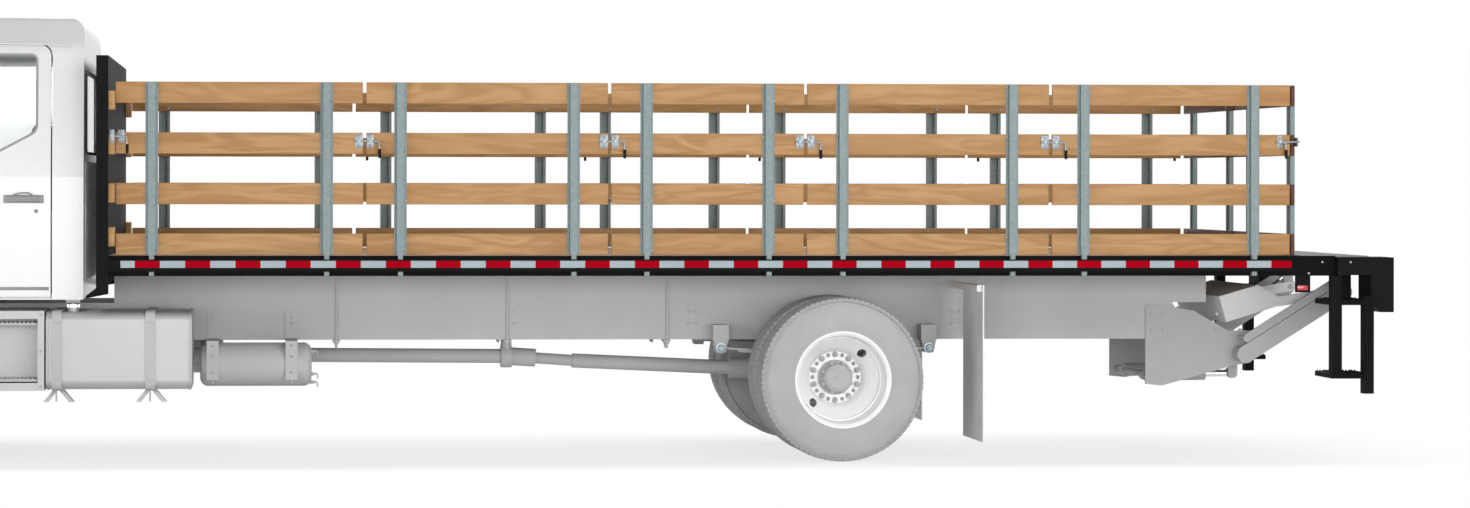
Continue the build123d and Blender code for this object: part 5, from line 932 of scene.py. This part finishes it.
seat = {
    # each seat's middle and half width: the driver's, and the bench beside it
    "centres": ((-0.54, 0.26), (0.43, 0.40)), "baseX": (-3.56, -3.06), "baseZ": (1.34, 1.48),
    "backFoot": (-3.04, 1.485), "backLength": 0.635, "backHalf": 0.062, "backLean": 7.8,
    "plinthX": (-3.50, -3.12), "plinthZ": (1.038, 1.341), "plinthInset": 0.06,
    # how far the start form is drawn in, its crown, the voxels, and how far cloth may move a point
    "draw": 0.016, "crown": 0.014, "voxel": 0.014, "cap": 0.024, "pressure": 4.0, "frames": 20,
    # sewn channels as shares of the half length, their width and depth, and the side seam
    "baseChannels": (-0.35, 0.15, 0.62), "backChannels": (-0.55, -0.1, 0.35, 0.72),
    "channelWidth": 0.007, "channelDepth": 0.006, "seamWidth": 0.006, "seamDraw": 0.010,
    "pipingInset": 0.014, "pipingCorner": 0.05, "pipingRadius": 0.0045,
}


def crownedBox(size, rise):
    # a closed box whose large faces are domed by rise * (1 - u^4) * (1 - v^4), with sides that pull in
    x, y, z = size
    count = 17
    span = np.linspace(-1, 1, count)
    u, v = np.meshgrid(span, span, indexing="ij")
    squeeze = 1 - 0.03 * (1 - v ** 2) * np.abs(u) ** 3
    across, along = u * squeeze * x / 2, v * (1 - 0.03 * (1 - u ** 2) * np.abs(v) ** 3) * y / 2
    dome = rise * (1 - u ** 4) * (1 - v ** 4)
    top = np.stack([across, along, z / 2 - rise + dome], -1).reshape(-1, 3)
    bottom = top * (1, 1, -1)
    faces = gridFaces(count, count).tolist()
    start = count * count
    ringOf = ([i * count for i in range(count)] + [start - count + i for i in range(1, count)]
              + [i * count + count - 1 for i in range(count - 2, -1, -1)] + list(range(count - 2, 0, -1)))
    faces += [[start + i for i in face][::-1] for face in faces]
    faces += [[a, b, b + start, a + start] for a, b in zip(ringOf, ringOf[1:] + ringOf[:1])]
    return np.concatenate([top, bottom]), faces


def bake(piece):
    # what the modifiers make becomes the piece's own mesh
    shaped = bpy.data.meshes.new_from_object(piece.evaluated_get(bpy.context.evaluated_depsgraph_get()))
    piece.modifiers.clear()
    piece.data = shaped


def placesOf(mesh):
    flat = np.empty(len(mesh.vertices) * 3)
    mesh.vertices.foreach_get("co", flat)
    return flat.reshape(-1, 3)


def blowUp(piece):
    # cloth under pressure for twenty frames, no point going further than the cap
    start = placesOf(piece.data)
    cloth = piece.modifiers.new("cloth", "CLOTH").settings
    cloth.use_pressure = True
    cloth.uniform_pressure_force = seat["pressure"]
    cloth.effector_weights.gravity = 0.0
    cloth.quality = 4
    for number in range(1, seat["frames"] + 1):
        scene.frame_set(number)
    bake(piece)
    scene.frame_set(1)
    moved = placesOf(piece.data) - start
    length = np.linalg.norm(moved, axis=1, keepdims=True)
    moved *= np.minimum(1.0, seat["cap"] / np.maximum(length, 1e-9))
    piece.data.vertices.foreach_set("co", (start + moved).ravel())


def stitched(points, size, channels):
    # sewn channels across the large faces and a seam round the sides: each a groove exp(-(d / w)^2) deep
    x, y, z = size
    upper = np.sign(points[:, 2]) * np.clip((np.abs(points[:, 2]) - 0.2 * z) / (0.2 * z), 0, 1)
    groove = sum(np.exp(-((points[:, 0] - c * x / 2) / seat["channelWidth"]) ** 2) for c in channels)
    out = points.copy()
    out[:, 2] -= seat["channelDepth"] * upper * groove
    seam = np.exp(-(points[:, 2] / seat["seamWidth"]) ** 2)
    out[:, :2] *= 1 - seat["seamDraw"] * seam[:, None]
    return out


def cushion(name, size, place, lean, channels):
    inner = tuple(s - seat["draw"] * 2 for s in size)
    points, faces = crownedBox(inner, seat["crown"])
    mesh = bpy.data.meshes.new(name)
    mesh.from_pydata(points.tolist(), [], faces)
    piece = bpy.data.objects.new(name, mesh)
    scene.collection.objects.link(piece)
    remesh = piece.modifiers.new("remesh", "REMESH")
    remesh.mode, remesh.voxel_size = "VOXEL", seat["voxel"]
    bake(piece)
    blowUp(piece)
    piece.modifiers.new("round", "SUBSURF").levels = 1
    bake(piece)
    shape = stitched(placesOf(piece.data), size, channels)
    shape = np.clip(shape, -np.array(size) / 2, np.array(size) / 2)
    shape, _ = tilted((shape, []), place, lean)
    piece.data.vertices.foreach_set("co", shape.ravel())
    piece.data.polygons.foreach_set("use_smooth", np.ones(len(piece.data.polygons), bool))
    piece.data.materials.clear()
    piece.data.materials.append(finishes["seat_fabric"])
    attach(piece, "chassis")
    return piece


def piping(size, place, lean):
    # a round cord once round the cushion's waist
    x, y = size[0] / 2 - seat["pipingInset"], size[1] / 2 - seat["pipingInset"]
    loop = roundedLoop([(-x, -y), (x, -y), (x, y), (-x, y)], seat["pipingCorner"])
    loop = np.stack([loop[:, 0], loop[:, 1], 0 * loop[:, 0]], -1)
    return tilted(loopTube(loop, seat["pipingRadius"], (0, 0, 1), 6), place, lean)


pipes, plinths = [], []
for word, (y, half) in zip(("driver", "passenger"), seat["centres"]):
    baseSize = (seat["baseX"][1] - seat["baseX"][0], 2 * half, seat["baseZ"][1] - seat["baseZ"][0])
    basePlace = (sum(seat["baseX"]) / 2, y, sum(seat["baseZ"]) / 2)
    backSize = (seat["backLength"], 2 * half, 2 * seat["backHalf"])
    # the back's own X runs up the seat's back
    a, footX, footZ, length = radians(seat["backLean"]), *seat["backFoot"], seat["backLength"]
    backPlace = (footX + sin(a) * length / 2, y, footZ + cos(a) * length / 2)
    backTurn = -(90 - seat["backLean"])
    cushion(word + "SeatBase", baseSize, basePlace, 0.0, seat["baseChannels"])
    cushion(word + "SeatBack", backSize, backPlace, backTurn, seat["backChannels"])
    pipes += [piping(baseSize, basePlace, 0.0), piping(backSize, backPlace, backTurn)]
    inner = half - seat["plinthInset"]
    plinths += [(*seat["plinthX"], y - inner, y + inner, *seat["plinthZ"])]
addPiece("seatPlinths", "chassis", finishes["trim_plastic"], softBoxes(plinths, 0.012, "x", 3),
         ["seats"])
addPiece("seatPiping", "chassis", finishes["trim_plastic"], joined(*pipes))
print("seats done")


# Hood and nose

nose = {"faceX": -5.385, "grilleY": 0.430, "grilleZ": (0.900, 1.220), "frameRadius": 0.010,
        "lampX": -5.379, "lampY": (-1.070, -0.800), "lampZ": (0.960, 1.110), "rimRadius": 0.007,
        "bulbY": (-1.002, -0.868), "bulbZ": 1.035, "backPlateX": (-5.300, -5.2965), "lensThickness": 0.006,
        "bowl": [(0.010, -0.070), (0.046, -0.048), (0.058, -0.010), (0.055, -0.010), (0.043, -0.044),
                 (0.007, -0.063)],
        "bulb": [(0.004, -0.064), (0.011, -0.055), (0.013, -0.042), (0.009, -0.030), (0.003, -0.026)],
        # the rubber lip round each arch: its circle, the angles where it starts and ends, and its section
        "archRadius": 0.607, "archAngles": (43, 150), "archY": -1.1305, "lipRadius": 0.009,
        "signal": (-5.180, -5.095, -1.138, -1.128, 1.020, 1.055),
        "strap": (-3.935, -3.905, -1.141, -1.129, 1.000, 1.110),
        "strapFoot": (-3.942, -3.898, -1.140, -1.129, 0.985, 1.003)}
angle = np.radians(np.linspace(*nose["archAngles"], 40))
lip = np.stack([frontX + nose["archRadius"] * np.cos(angle), nose["archY"] + 0 * angle,
                wheels["z"] + nose["archRadius"] * np.sin(angle)], -1)
addPiece("archLips", "hood_body", finishes["trim_plastic"], bothSides(pathTube(lip, nose["lipRadius"], 8, 0)))
grilleEdge = flatLoop(-nose["grilleY"], nose["grilleY"], *nose["grilleZ"], nose["faceX"] - 0.002, 0.03)
addPiece("grilleFrame", "hood_body", reflector, loopTube(grilleEdge, nose["frameRadius"], (1, 0, 0)))
lampEdge = flatLoop(*nose["lampY"], *nose["lampZ"], nose["faceX"] - 0.001, 0.02)
addPiece("headlampRims", "hood_body", finishes["trim_plastic"],
         bothSides(loopTube(lampEdge, nose["rimRadius"], (1, 0, 0))))


def insideLamp(x0, x1, inset):
    # a plate inside the lamp's opening, drawn in on all four sides
    (y0, y1), (z0, z1) = nose["lampY"], nose["lampZ"]
    return [(x0, x1, y0 + inset, y1 - inset, z0 + inset, z1 - inset)]


spots = [(nose["lampX"], y, nose["bulbZ"]) for y in nose["bulbY"]]
addPiece("headlampBowls", "hood_body", reflector, bothSides(
    heads(spots, "-x", nose["bowl"], 40), softBoxes(insideLamp(*nose["backPlateX"], 0.003))))
addPiece("headlampBulbs", "hood_body", finishes["lamp_clear"],
         bothSides(heads(spots, "-x", nose["bulb"], 20)))
lensRows = insideLamp(nose["lampX"], nose["lampX"] + nose["lensThickness"], 0.001)
addPiece("headlampLenses", "hood_body", finishes["lamp_clear"], bothSides(softBoxes(lensRows, 0.002)),
         ["headlamps"])
addPiece("sideSignals", "hood_body", lampAmber, bothSides(softBoxes([nose["signal"]], 0.004)))
addPiece("hoodStraps", "hood_body", gripBlack,
         bothSides(softBoxes([nose["strap"], nose["strapFoot"]], 0.004)))
print("nose done")


# Chassis

# bolt pairs on the rail's face where the cross members end
rail = {"y": -0.425, "crossX": (-3.30, -2.25, -0.008, 1.15, 2.85, 4.15), "boltDx": (-0.024, 0.024),
        "boltZ": (0.822, 0.895)}
railBolts = [(x + dx, rail["y"], z) for x in rail["crossX"] for dx in rail["boltDx"] for z in rail["boltZ"]]
addPiece("railBolts", "chassis", finishes["chassis_grey"], bothSides(heads(railBolts, "-y", hexBolt, 6)))

clamp = {"x": (-1.119, -0.034, 0.987), "outerY": -0.4335, "innerY": -0.3365, "z": (0.664, 1.171),
         "rod": 0.007, "plate": (-0.452, -0.318, 0.706, 0.7195), "plateHalf": 0.022,
         "nut": [(0.013, 0.0), (0.013, 0.014), (0.008, 0.016)]}


def sillClamp(x):
    # a U-bolt over the long sill and under the frame, with a plate and two nuts below
    y0, y1, (z0, z1) = clamp["outerY"], clamp["innerY"], clamp["z"]
    legs = pathTube([(x, y0, z0), (x, y0, z1), (x, y1, z1), (x, y1, z0)], clamp["rod"], 8, 2)
    plate = softBoxes([(x - clamp["plateHalf"], x + clamp["plateHalf"], *clamp["plate"])], 0.002)
    return joined(legs, plate, heads([(x, y, clamp["plate"][2]) for y in (y0, y1)], "-z", clamp["nut"], 6))


addPiece("sillClamps", "chassis", finishes["chassis_grey"], bothSides(*[sillClamp(x) for x in clamp["x"]]))

# two brake pipes along the right rail, one above the other, each under a row of saddles
pipe = {"x": (-3.0, 1.05), "y": 0.4305, "z": (0.9435, 0.9255), "radius": 0.005, "saddlePitch": 0.55,
        "saddle": (-0.009, 0.009, -0.012, 0.006, -0.009, 0.009)}


def pipeRun(y, z):
    (x0, x1), reach = pipe["x"], pipe["saddle"]
    saddles = [(x + reach[0], x + reach[1], y + reach[2], y + reach[3], z + reach[4], z + reach[5])
               for x in np.arange(x0 + 0.1, x1, pipe["saddlePitch"])]
    return joined(pathTube([(x0, y, z), (x1, y, z)], pipe["radius"], 8), softBoxes(saddles, 0.002))


addPiece("brakePipes", "chassis", finishes["cast_grey"], joined(*[pipeRun(pipe["y"], z) for z in pipe["z"]]))

springPin = {"x": (1.317, 2.649), "y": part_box("springs")[0][1], "z": 0.673,
             "rings": [(0.034, -0.004), (0.034, 0.004), (0.022, 0.005), (0.020, 0.016), (0.0175, 0.018),
                       (0.010, 0.018), (0.010, 0.024), (0.008, 0.026)]}
addPiece("springPins", "chassis", finishes["latch_zinc"], bothSides(
    heads([(x, springPin["y"], springPin["z"]) for x in springPin["x"]], "-y", springPin["rings"], 24)))

tank = {"x": (-2.900, -2.017), "y": (-1.150, -0.560), "z": (0.456, 0.927), "seamInset": 0.012,
        "straps": (-2.835, -2.268), "strapHalf": 0.0302, "strapGap": 0.0082, "strapGauge": 0.0012,
        "boltDx": (-0.012, 0.012), "boltZ": (0.520, 0.865), "studZ": (0.450, 0.385), "studRadius": 0.006,
        "cap": (-2.742, -1.000, 0.954), "tabRadius": 0.036, "tabs": 12, "tabZ": 0.960,
        "capRings": [(0.030, -0.004), (0.0355, 0.0), (0.0355, 0.016), (0.032, 0.020), (0.020, 0.021),
                     (0.018, 0.026), (0.008, 0.027)],
        "tabRings": [(0.004, -0.006), (0.004, 0.008), (0.002, 0.010)]}


def sectionLoop(x, grow, radius):
    # the tank's rounded section at one place along it, grown on all sides
    (y0, y1), (z0, z1) = tank["y"], tank["z"]
    return flatLoop(y0 - grow, y1 + grow, z0 - grow, z1 + grow, x, radius)


seamPlaces = (tank["x"][0] + tank["seamInset"], tank["x"][1] - tank["seamInset"])
addPiece("tankSeams", "chassis", finishes["tank_grey"], joined(*[
    loopTube(sectionLoop(x, 0.001, 0.055), 0.005, (1, 0, 0), 8) for x in seamPlaces]))


def strapBand(x):
    # a flat band round the tank: four corners of its section at each point of the outline
    inner = sectionLoop(x, tank["strapGap"], 0.063)
    outer = sectionLoop(x, tank["strapGap"] + tank["strapGauge"], 0.064)
    half = np.array((tank["strapHalf"], 0, 0))
    rings = np.stack([inner - half, inner + half, outer + half, outer - half], 1)
    return rings.reshape(-1, 3), gridFaces(len(rings), 4, True, True).tolist()


addPiece("tankStraps", "chassis", finishes["chassis_grey"], joined(*[strapBand(x) for x in tank["straps"]]))
strapBolts = [(x + dx, tank["y"][0] - 0.008, z) for x in tank["straps"] for dx in tank["boltDx"]
              for z in tank["boltZ"]]
studs = [pathTube([(x, tank["y"][0] - 0.004, z) for z in tank["studZ"]], tank["studRadius"], 8, 0)
         for x in tank["straps"]]
addPiece("strapBolts", "chassis", finishes["chassis_grey"], joined(heads(strapBolts, "-y", domeBolt), *studs))
capTabs = [(tank["cap"][0] + tank["tabRadius"] * cos(t), tank["cap"][1] + tank["tabRadius"] * sin(t),
            tank["tabZ"]) for t in np.linspace(0, 2 * pi, tank["tabs"], False)]
addPiece("tankCap", "chassis", reflector, joined(heads([tank["cap"]], "z", tank["capRings"], 32),
                                                heads(capTabs, "z", tank["tabRings"], 6)))

air = {"y": -0.600, "z": 0.578, "radius": 0.136, "rear": -1.279, "seamX": (-1.925, -1.330),
       "seamRadius": 0.0025, "hangers": (-1.896, -1.405), "boltY": -0.746,
       "boltZ": (0.470, 0.535, 0.635, 0.700, 0.840, 0.876),
       "drains": ((-0.640, 0.660), (-0.655, 0.520), (-0.600, 0.465)),
       "drainRings": [(0.013, 0.0), (0.013, 0.022), (0.009, 0.024), (0.009, 0.040)], "hose": 0.005}
airBolts = [(x, air["boltY"], z) for x in air["hangers"] for z in air["boltZ"]]


def drain(y, z):
    # a hexagon plug in the tank's end with a short bent outlet
    x = air["rear"]
    outlet = [(x + 0.02, y, z), (x + 0.038, y, z), (x + 0.038, y, z - 0.03)]
    return joined(heads([(x - 0.012, y, z)], "x", air["drainRings"], 6), pathTube(outlet, air["hose"], 8))


def roundLoop(x, y, z, radius):
    turn = np.linspace(0, 2 * pi, 48, endpoint=False)
    return np.stack([x + 0 * turn, y + radius * np.cos(turn), z + radius * np.sin(turn)], -1)


airSeams = [loopTube(roundLoop(x, air["y"], air["z"], air["radius"]), air["seamRadius"], (1, 0, 0), 6)
            for x in air["seamX"]]
addPiece("airTankBolts", "chassis", finishes["latch_zinc"], heads(airBolts, "-y", domeBolt))
addPiece("airTankFittings", "chassis", finishes["chassis_grey"],
         joined(*[drain(y, z) for y, z in air["drains"]], *airSeams))

muffler = {"y": 0.650, "z": 0.600, "radius": 0.151, "bands": (-2.62, -1.98), "bandRadius": 0.012}
addPiece("mufflerBands", "chassis", finishes["latch_zinc"], joined(*[
    loopTube(roundLoop(x, muffler["y"], muffler["z"], muffler["radius"]), muffler["bandRadius"], (1, 0, 0), 8)
    for x in muffler["bands"]]))

# the step boxes' gripping treads, their teeth, and the bolts of their covers
boxes = {"x": (-3.640, -2.910), "face": -1.150, "treadZ": (0.862, 0.520), "recess": (-3.595, -2.955),
         "treadY": (-1.148, -0.985), "treadGauge": 0.014, "toothY": (-1.142, -1.105, -1.068, -1.031, -0.994),
         "toothPitch": 0.026, "tooth": [(0.0065, -0.001), (0.0055, 0.004), (0.0035, 0.006), (0.0025, 0.0035)],
         "boltInset": 0.022, "boltZ": (0.475, 0.690, 0.912)}
treadRows = [(*boxes["recess"], *boxes["treadY"], z - boxes["treadGauge"], z) for z in boxes["treadZ"]]
toothX = np.arange(boxes["recess"][0] + 0.015, boxes["recess"][1] - 0.01, boxes["toothPitch"])
toothPlaces = [(x, y, z) for z in boxes["treadZ"] for y in boxes["toothY"] for x in toothX]
coverX = (boxes["x"][0] + boxes["boltInset"], boxes["x"][1] - boxes["boltInset"])
coverBolts = [(x, boxes["face"], z) for x in coverX for z in boxes["boltZ"]]
addPiece("boxTreads", "chassis", finishes["chassis_grey"], bothSides(
    softBoxes(treadRows, 0.002), heads(toothPlaces, "z", boxes["tooth"], 6),
    heads(coverBolts, "-y", domeBolt)))

flap = {"boltX": 2.859, "boltY": (-1.130, -0.985, -0.840, -0.695), "boltZ": 1.070,
        "strip": (2.8585, 2.8625, -1.185, -0.645, 1.046, 1.088)}
flapBolts = [(flap["boltX"], y, flap["boltZ"]) for y in flap["boltY"]]
addPiece("flapBolts", "chassis", finishes["chassis_grey"], bothSides(
    heads(flapBolts, "x", hexBolt, 6), softBoxes([flap["strip"]], 0.001)))
print("chassis done")


# Tail

# saw-edged points round the two steps of each ladder: the steps' outline, their opening and the teeth
step = {"x": (5.035, 5.300), "y": (-1.218, -0.898), "z": (0.541, 0.997), "openX": (5.098, 5.236),
        "openY": (-1.188, -0.928), "near": 0.008, "far": 0.012, "outerPitch": 0.0185, "innerPitch": 0.02,
        "tooth": [(0.0062, -0.001), (0.0055, 0.003), (0.002, 0.0085)]}


def stepRows(z):
    # teeth along the outline's long sides, then across and along the edges of the opening
    (x0, x1), (y0, y1), (openX0, openX1), (openY0, openY1) = (step[k] for k in ("x", "y", "openX", "openY"))
    near, far = step["near"], step["far"]
    along = np.arange(x0 + far, x1 - near, step["outerPitch"])
    across = np.arange(openY0, openY1 + 0.001, step["innerPitch"])
    beside = np.arange(openX0 + near, openX1, step["innerPitch"])
    return ([(x, y, z) for x in along for y in (y0 + near, y1 - near)]
            + [(x, y, z) for y in across for x in (openX0 - far, openX1 + far)]
            + [(x, y, z) for x in beside for y in (openY0 - near, openY1 + near)])


teeth = [place for z in step["z"] for place in stepRows(z)]
addPiece("stepTeeth", "chassis", finishes["bed_black"], bothSides(heads(teeth, "z", step["tooth"], 4)))

tail = {"rearX": 5.282, "bolts": [(4.987, -1.1774, 1.233), (5.151, -1.219, 1.233)],
        "markerBolt": (4.902, -1.176, 1.163), "lampY": (-0.9, -0.8, -0.7), "lampZ": 1.202,
        "bezel": [(0.043, -0.001), (0.043, 0.006), (0.0385, 0.010), (0.0345, 0.008), (0.0345, 0.002)],
        "lens": [(0.0335, 0.000), (0.0335, 0.013), (0.028, 0.016), (0.006, 0.018)],
        "centreY": (-0.15, 0.0, 0.15), "centreHalf": 0.035, "centreZ": (1.190, 1.214),
        "marker": (4.826, 4.893, -1.1885, -1.174, 1.058, 1.088),
        "markerPlate": (4.815, 4.912, -1.1755, -1.1715, 1.045, 1.160),
        "deckEdge": (4.870, 5.281, -1.1735, -1.1705, 1.264, 1.2725),
        "plate": (5.2715, 5.2745, -0.875, -0.590, 0.995, 1.135),
        "plateHolder": (5.2655, 5.2718, -0.885, -0.580, 0.985, 1.166),
        # the lamp wire down the rear face of the ladder's outer post, as x, y and z
        "wire": [(5.262, -1.2195, 0.930), (5.258, -1.2205, 0.860), (5.246, -1.2205, 0.760),
                 (5.262, -1.2205, 0.660), (5.250, -1.2205, 0.560), (5.264, -1.2205, 0.470)],
        "wireRadius": 0.004}
addPiece("tailBolts", "chassis", finishes["latch_zinc"], bothSides(
    heads(tail["bolts"], "-y", domeBolt, 12), heads([tail["markerBolt"]], "-y", domeBolt, 12)))
tailSpots = [(tail["rearX"], y, tail["lampZ"]) for y in tail["lampY"]]
addPiece("tailBezels", "chassis", gripBlack, bothSides(heads(tailSpots, "x", tail["bezel"], 32)))
addPiece("tailLenses", "chassis", finishes["lamp_red"], bothSides(heads(tailSpots, "x", tail["lens"], 32)),
         ["tail_lamps"])
centreRows = [(tail["rearX"] - 0.002, tail["rearX"] + 0.012, y - tail["centreHalf"], y + tail["centreHalf"],
               *tail["centreZ"]) for y in tail["centreY"]]
addPiece("centreMarkers", "chassis", finishes["lamp_red"], softBoxes(centreRows, 0.004))
addPiece("sideMarkers", "chassis", finishes["lamp_red"], bothSides(softBoxes([tail["marker"]], 0.004)))
addPiece("sideMarkerPlates", "chassis", finishes["bed_black"],
         bothSides(softBoxes([tail["markerPlate"]], 0.001)))
addPiece("treadplateEdge", "chassis", finishes["grille_grey"],
         bothSides(softBoxes([tail["deckEdge"]], 0.0008)))
addPiece("numberPlate", "chassis", plateWhite, softBoxes([tail["plate"]], 0.001))
addPiece("numberPlateHolder", "chassis", finishes["bed_black"], softBoxes([tail["plateHolder"]], 0.002))
addPiece("lampWire", "chassis", gripBlack, bothSides(pathTube(tail["wire"], tail["wireRadius"], 8)))

lift = {"tip": (5.333, 1.025), "armY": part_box("lift_arms")[0][1], "mountY": -0.437,
        "mountX": (4.12, 4.20, 4.55, 4.70), "mountZ": (0.775, 0.880),
        "pin": [(0.024, -0.001), (0.024, 0.004), (0.019, 0.006), (0.008, 0.006), (0.008, 0.011),
                (0.005, 0.012)]}
addPiece("liftArmPins", "lift_arms_body", finishes["latch_zinc"], bothSides(
    heads([(lift["tip"][0], lift["armY"], lift["tip"][1])], "-y", lift["pin"], 24)))
mountBolts = [(x, lift["mountY"], z) for x in lift["mountX"] for z in lift["mountZ"]]
addPiece("liftMountBolts", "chassis", finishes["chassis_grey"],
         bothSides(heads(mountBolts, "-y", hexBolt, 6)))
print("tail done")


# Camera, lights and floor

# metres and degrees for the camera, photograph pixels for its focal length, centre and image
photoView = {"place": (-1.561, -20.361, 1.732), "yaw": -3.316, "pitch": 0.009, "roll": -0.083,
             "focal": 3143.5, "centre": (448.9, 180.0), "image": (1470, 508)}
# each soft box as power, size and place
studio = {"worldFill": 0.31, "floorTone": 0.82,
          "lights": {"key": (480, (9.0, 4.0), (8.0, -12.0, 8.0)),
                     "front": (1150, (16.0, 3.5), (2.0, -15.0, 1.9)),
                     "side": (380, (6.0, 4.0), (-13.0, -10.0, 2.4)),
                     "rim": (650, (12.0, 4.0), (2.0, 11.0, 8.0))}}
# the soft grey band under the truck: full between the inner values and gone at the outer ones
shade = {"amount": 0.25, "near": (-1.75, -1.25), "far": (0.1, 1.3), "front": (-6.2, -5.4), "rear": (4.0, 6.4)}


def addCamera():
    data = bpy.data.cameras.new("photoCamera")
    width, height = photoView["image"]
    data.sensor_width = 36.0
    data.lens = photoView["focal"] / width * data.sensor_width
    data.shift_x = (width / 2 - photoView["centre"][0]) / width
    data.shift_y = (photoView["centre"][1] - height / 2) / width
    data.clip_end = 300
    camera = bpy.data.objects.new("photoCamera", data)
    scene.collection.objects.link(camera)
    camera.location = photoView["place"]
    turns = (90 + photoView["pitch"], photoView["roll"], photoView["yaw"])
    camera.rotation_euler = [radians(turn) for turn in turns]
    scene.camera = camera


def softLight(name, power, size, place, target=(0.5, 0.0, 1.2)):
    data = bpy.data.lights.new(name, "AREA")
    data.shape, data.size, data.size_y, data.energy = "RECTANGLE", size[0], size[1], power
    lamp = bpy.data.objects.new(name, data)
    scene.collection.objects.link(lamp)
    lamp.location = place
    lamp.rotation_euler = (Vector(target) - Vector(place)).to_track_quat("-Z", "Y").to_euler()


def brightRays(tree):
    # true for what the camera, a mirror or glass sees of the backdrop
    path = tree.nodes.new("ShaderNodeLightPath")
    seen = calc(tree, "MAXIMUM", path.outputs["Is Camera Ray"], path.outputs["Is Glossy Ray"])
    return calc(tree, "MAXIMUM", seen, path.outputs["Is Transmission Ray"])


def smooth(tree, value, low, high):
    return put(tree, "ShaderNodeMapRange", {"Value": value, "From Min": low, "From Max": high},
               interpolation_type="SMOOTHSTEP").outputs[0]


def addStage():
    world = bpy.data.worlds.new("studioWorld")
    scene.world = world
    world.use_nodes = True
    tree = world.node_tree
    background = tree.nodes["Background"]
    strength = spread(tree, brightRays(tree), 0.0, 1.0, studio["worldFill"], 1.0)
    tree.links.new(strength, background.inputs["Strength"])
    background.inputs["Color"].default_value = (1, 1, 1, 1)

    floor = bpy.data.materials.new("floorPaper")
    floor.use_nodes = True
    tree = floor.node_tree
    shader = tree.nodes["Principled BSDF"]
    shader.inputs["Base Color"].default_value = (*[studio["floorTone"]] * 3, 1)
    shader.inputs["Roughness"].default_value = 0.9
    shine = put(tree, "ShaderNodeEmission", {"Strength": 1.0})
    place = tree.nodes.new("ShaderNodeTexCoord").outputs["Object"]
    x, y, _ = put(tree, "ShaderNodeSeparateXYZ", {0: place}).outputs
    band = calc(tree, "MULTIPLY", smooth(tree, y, *shade["near"]), smooth(tree, y, *shade["far"][::-1]))
    ends = calc(tree, "MULTIPLY", smooth(tree, x, *shade["front"]), smooth(tree, x, *shade["rear"][::-1]))
    dark = calc(tree, "MULTIPLY", calc(tree, "MULTIPLY", band, ends), shade["amount"])
    amount = calc(tree, "MULTIPLY", brightRays(tree), calc(tree, "SUBTRACT", 1.0, dark))
    mix = put(tree, "ShaderNodeMixShader", {0: amount, 1: shader.outputs[0], 2: shine.outputs[0]})
    tree.links.new(mix.outputs[0], tree.nodes["Material Output"].inputs["Surface"])
    mesh = bpy.data.meshes.new("floor")
    mesh.from_pydata([(-90, -60, 0), (90, -60, 0), (90, 120, 0), (-90, 120, 0)], [], [(0, 1, 2, 3)])
    mesh.materials.append(floor)
    plane = bpy.data.objects.new("floor", mesh)
    scene.collection.objects.link(plane)


addCamera()
for name, values in studio["lights"].items():
    softLight(name + "Softbox", *values)
addStage()
scene.view_settings.view_transform = "Standard"
print("stage done")
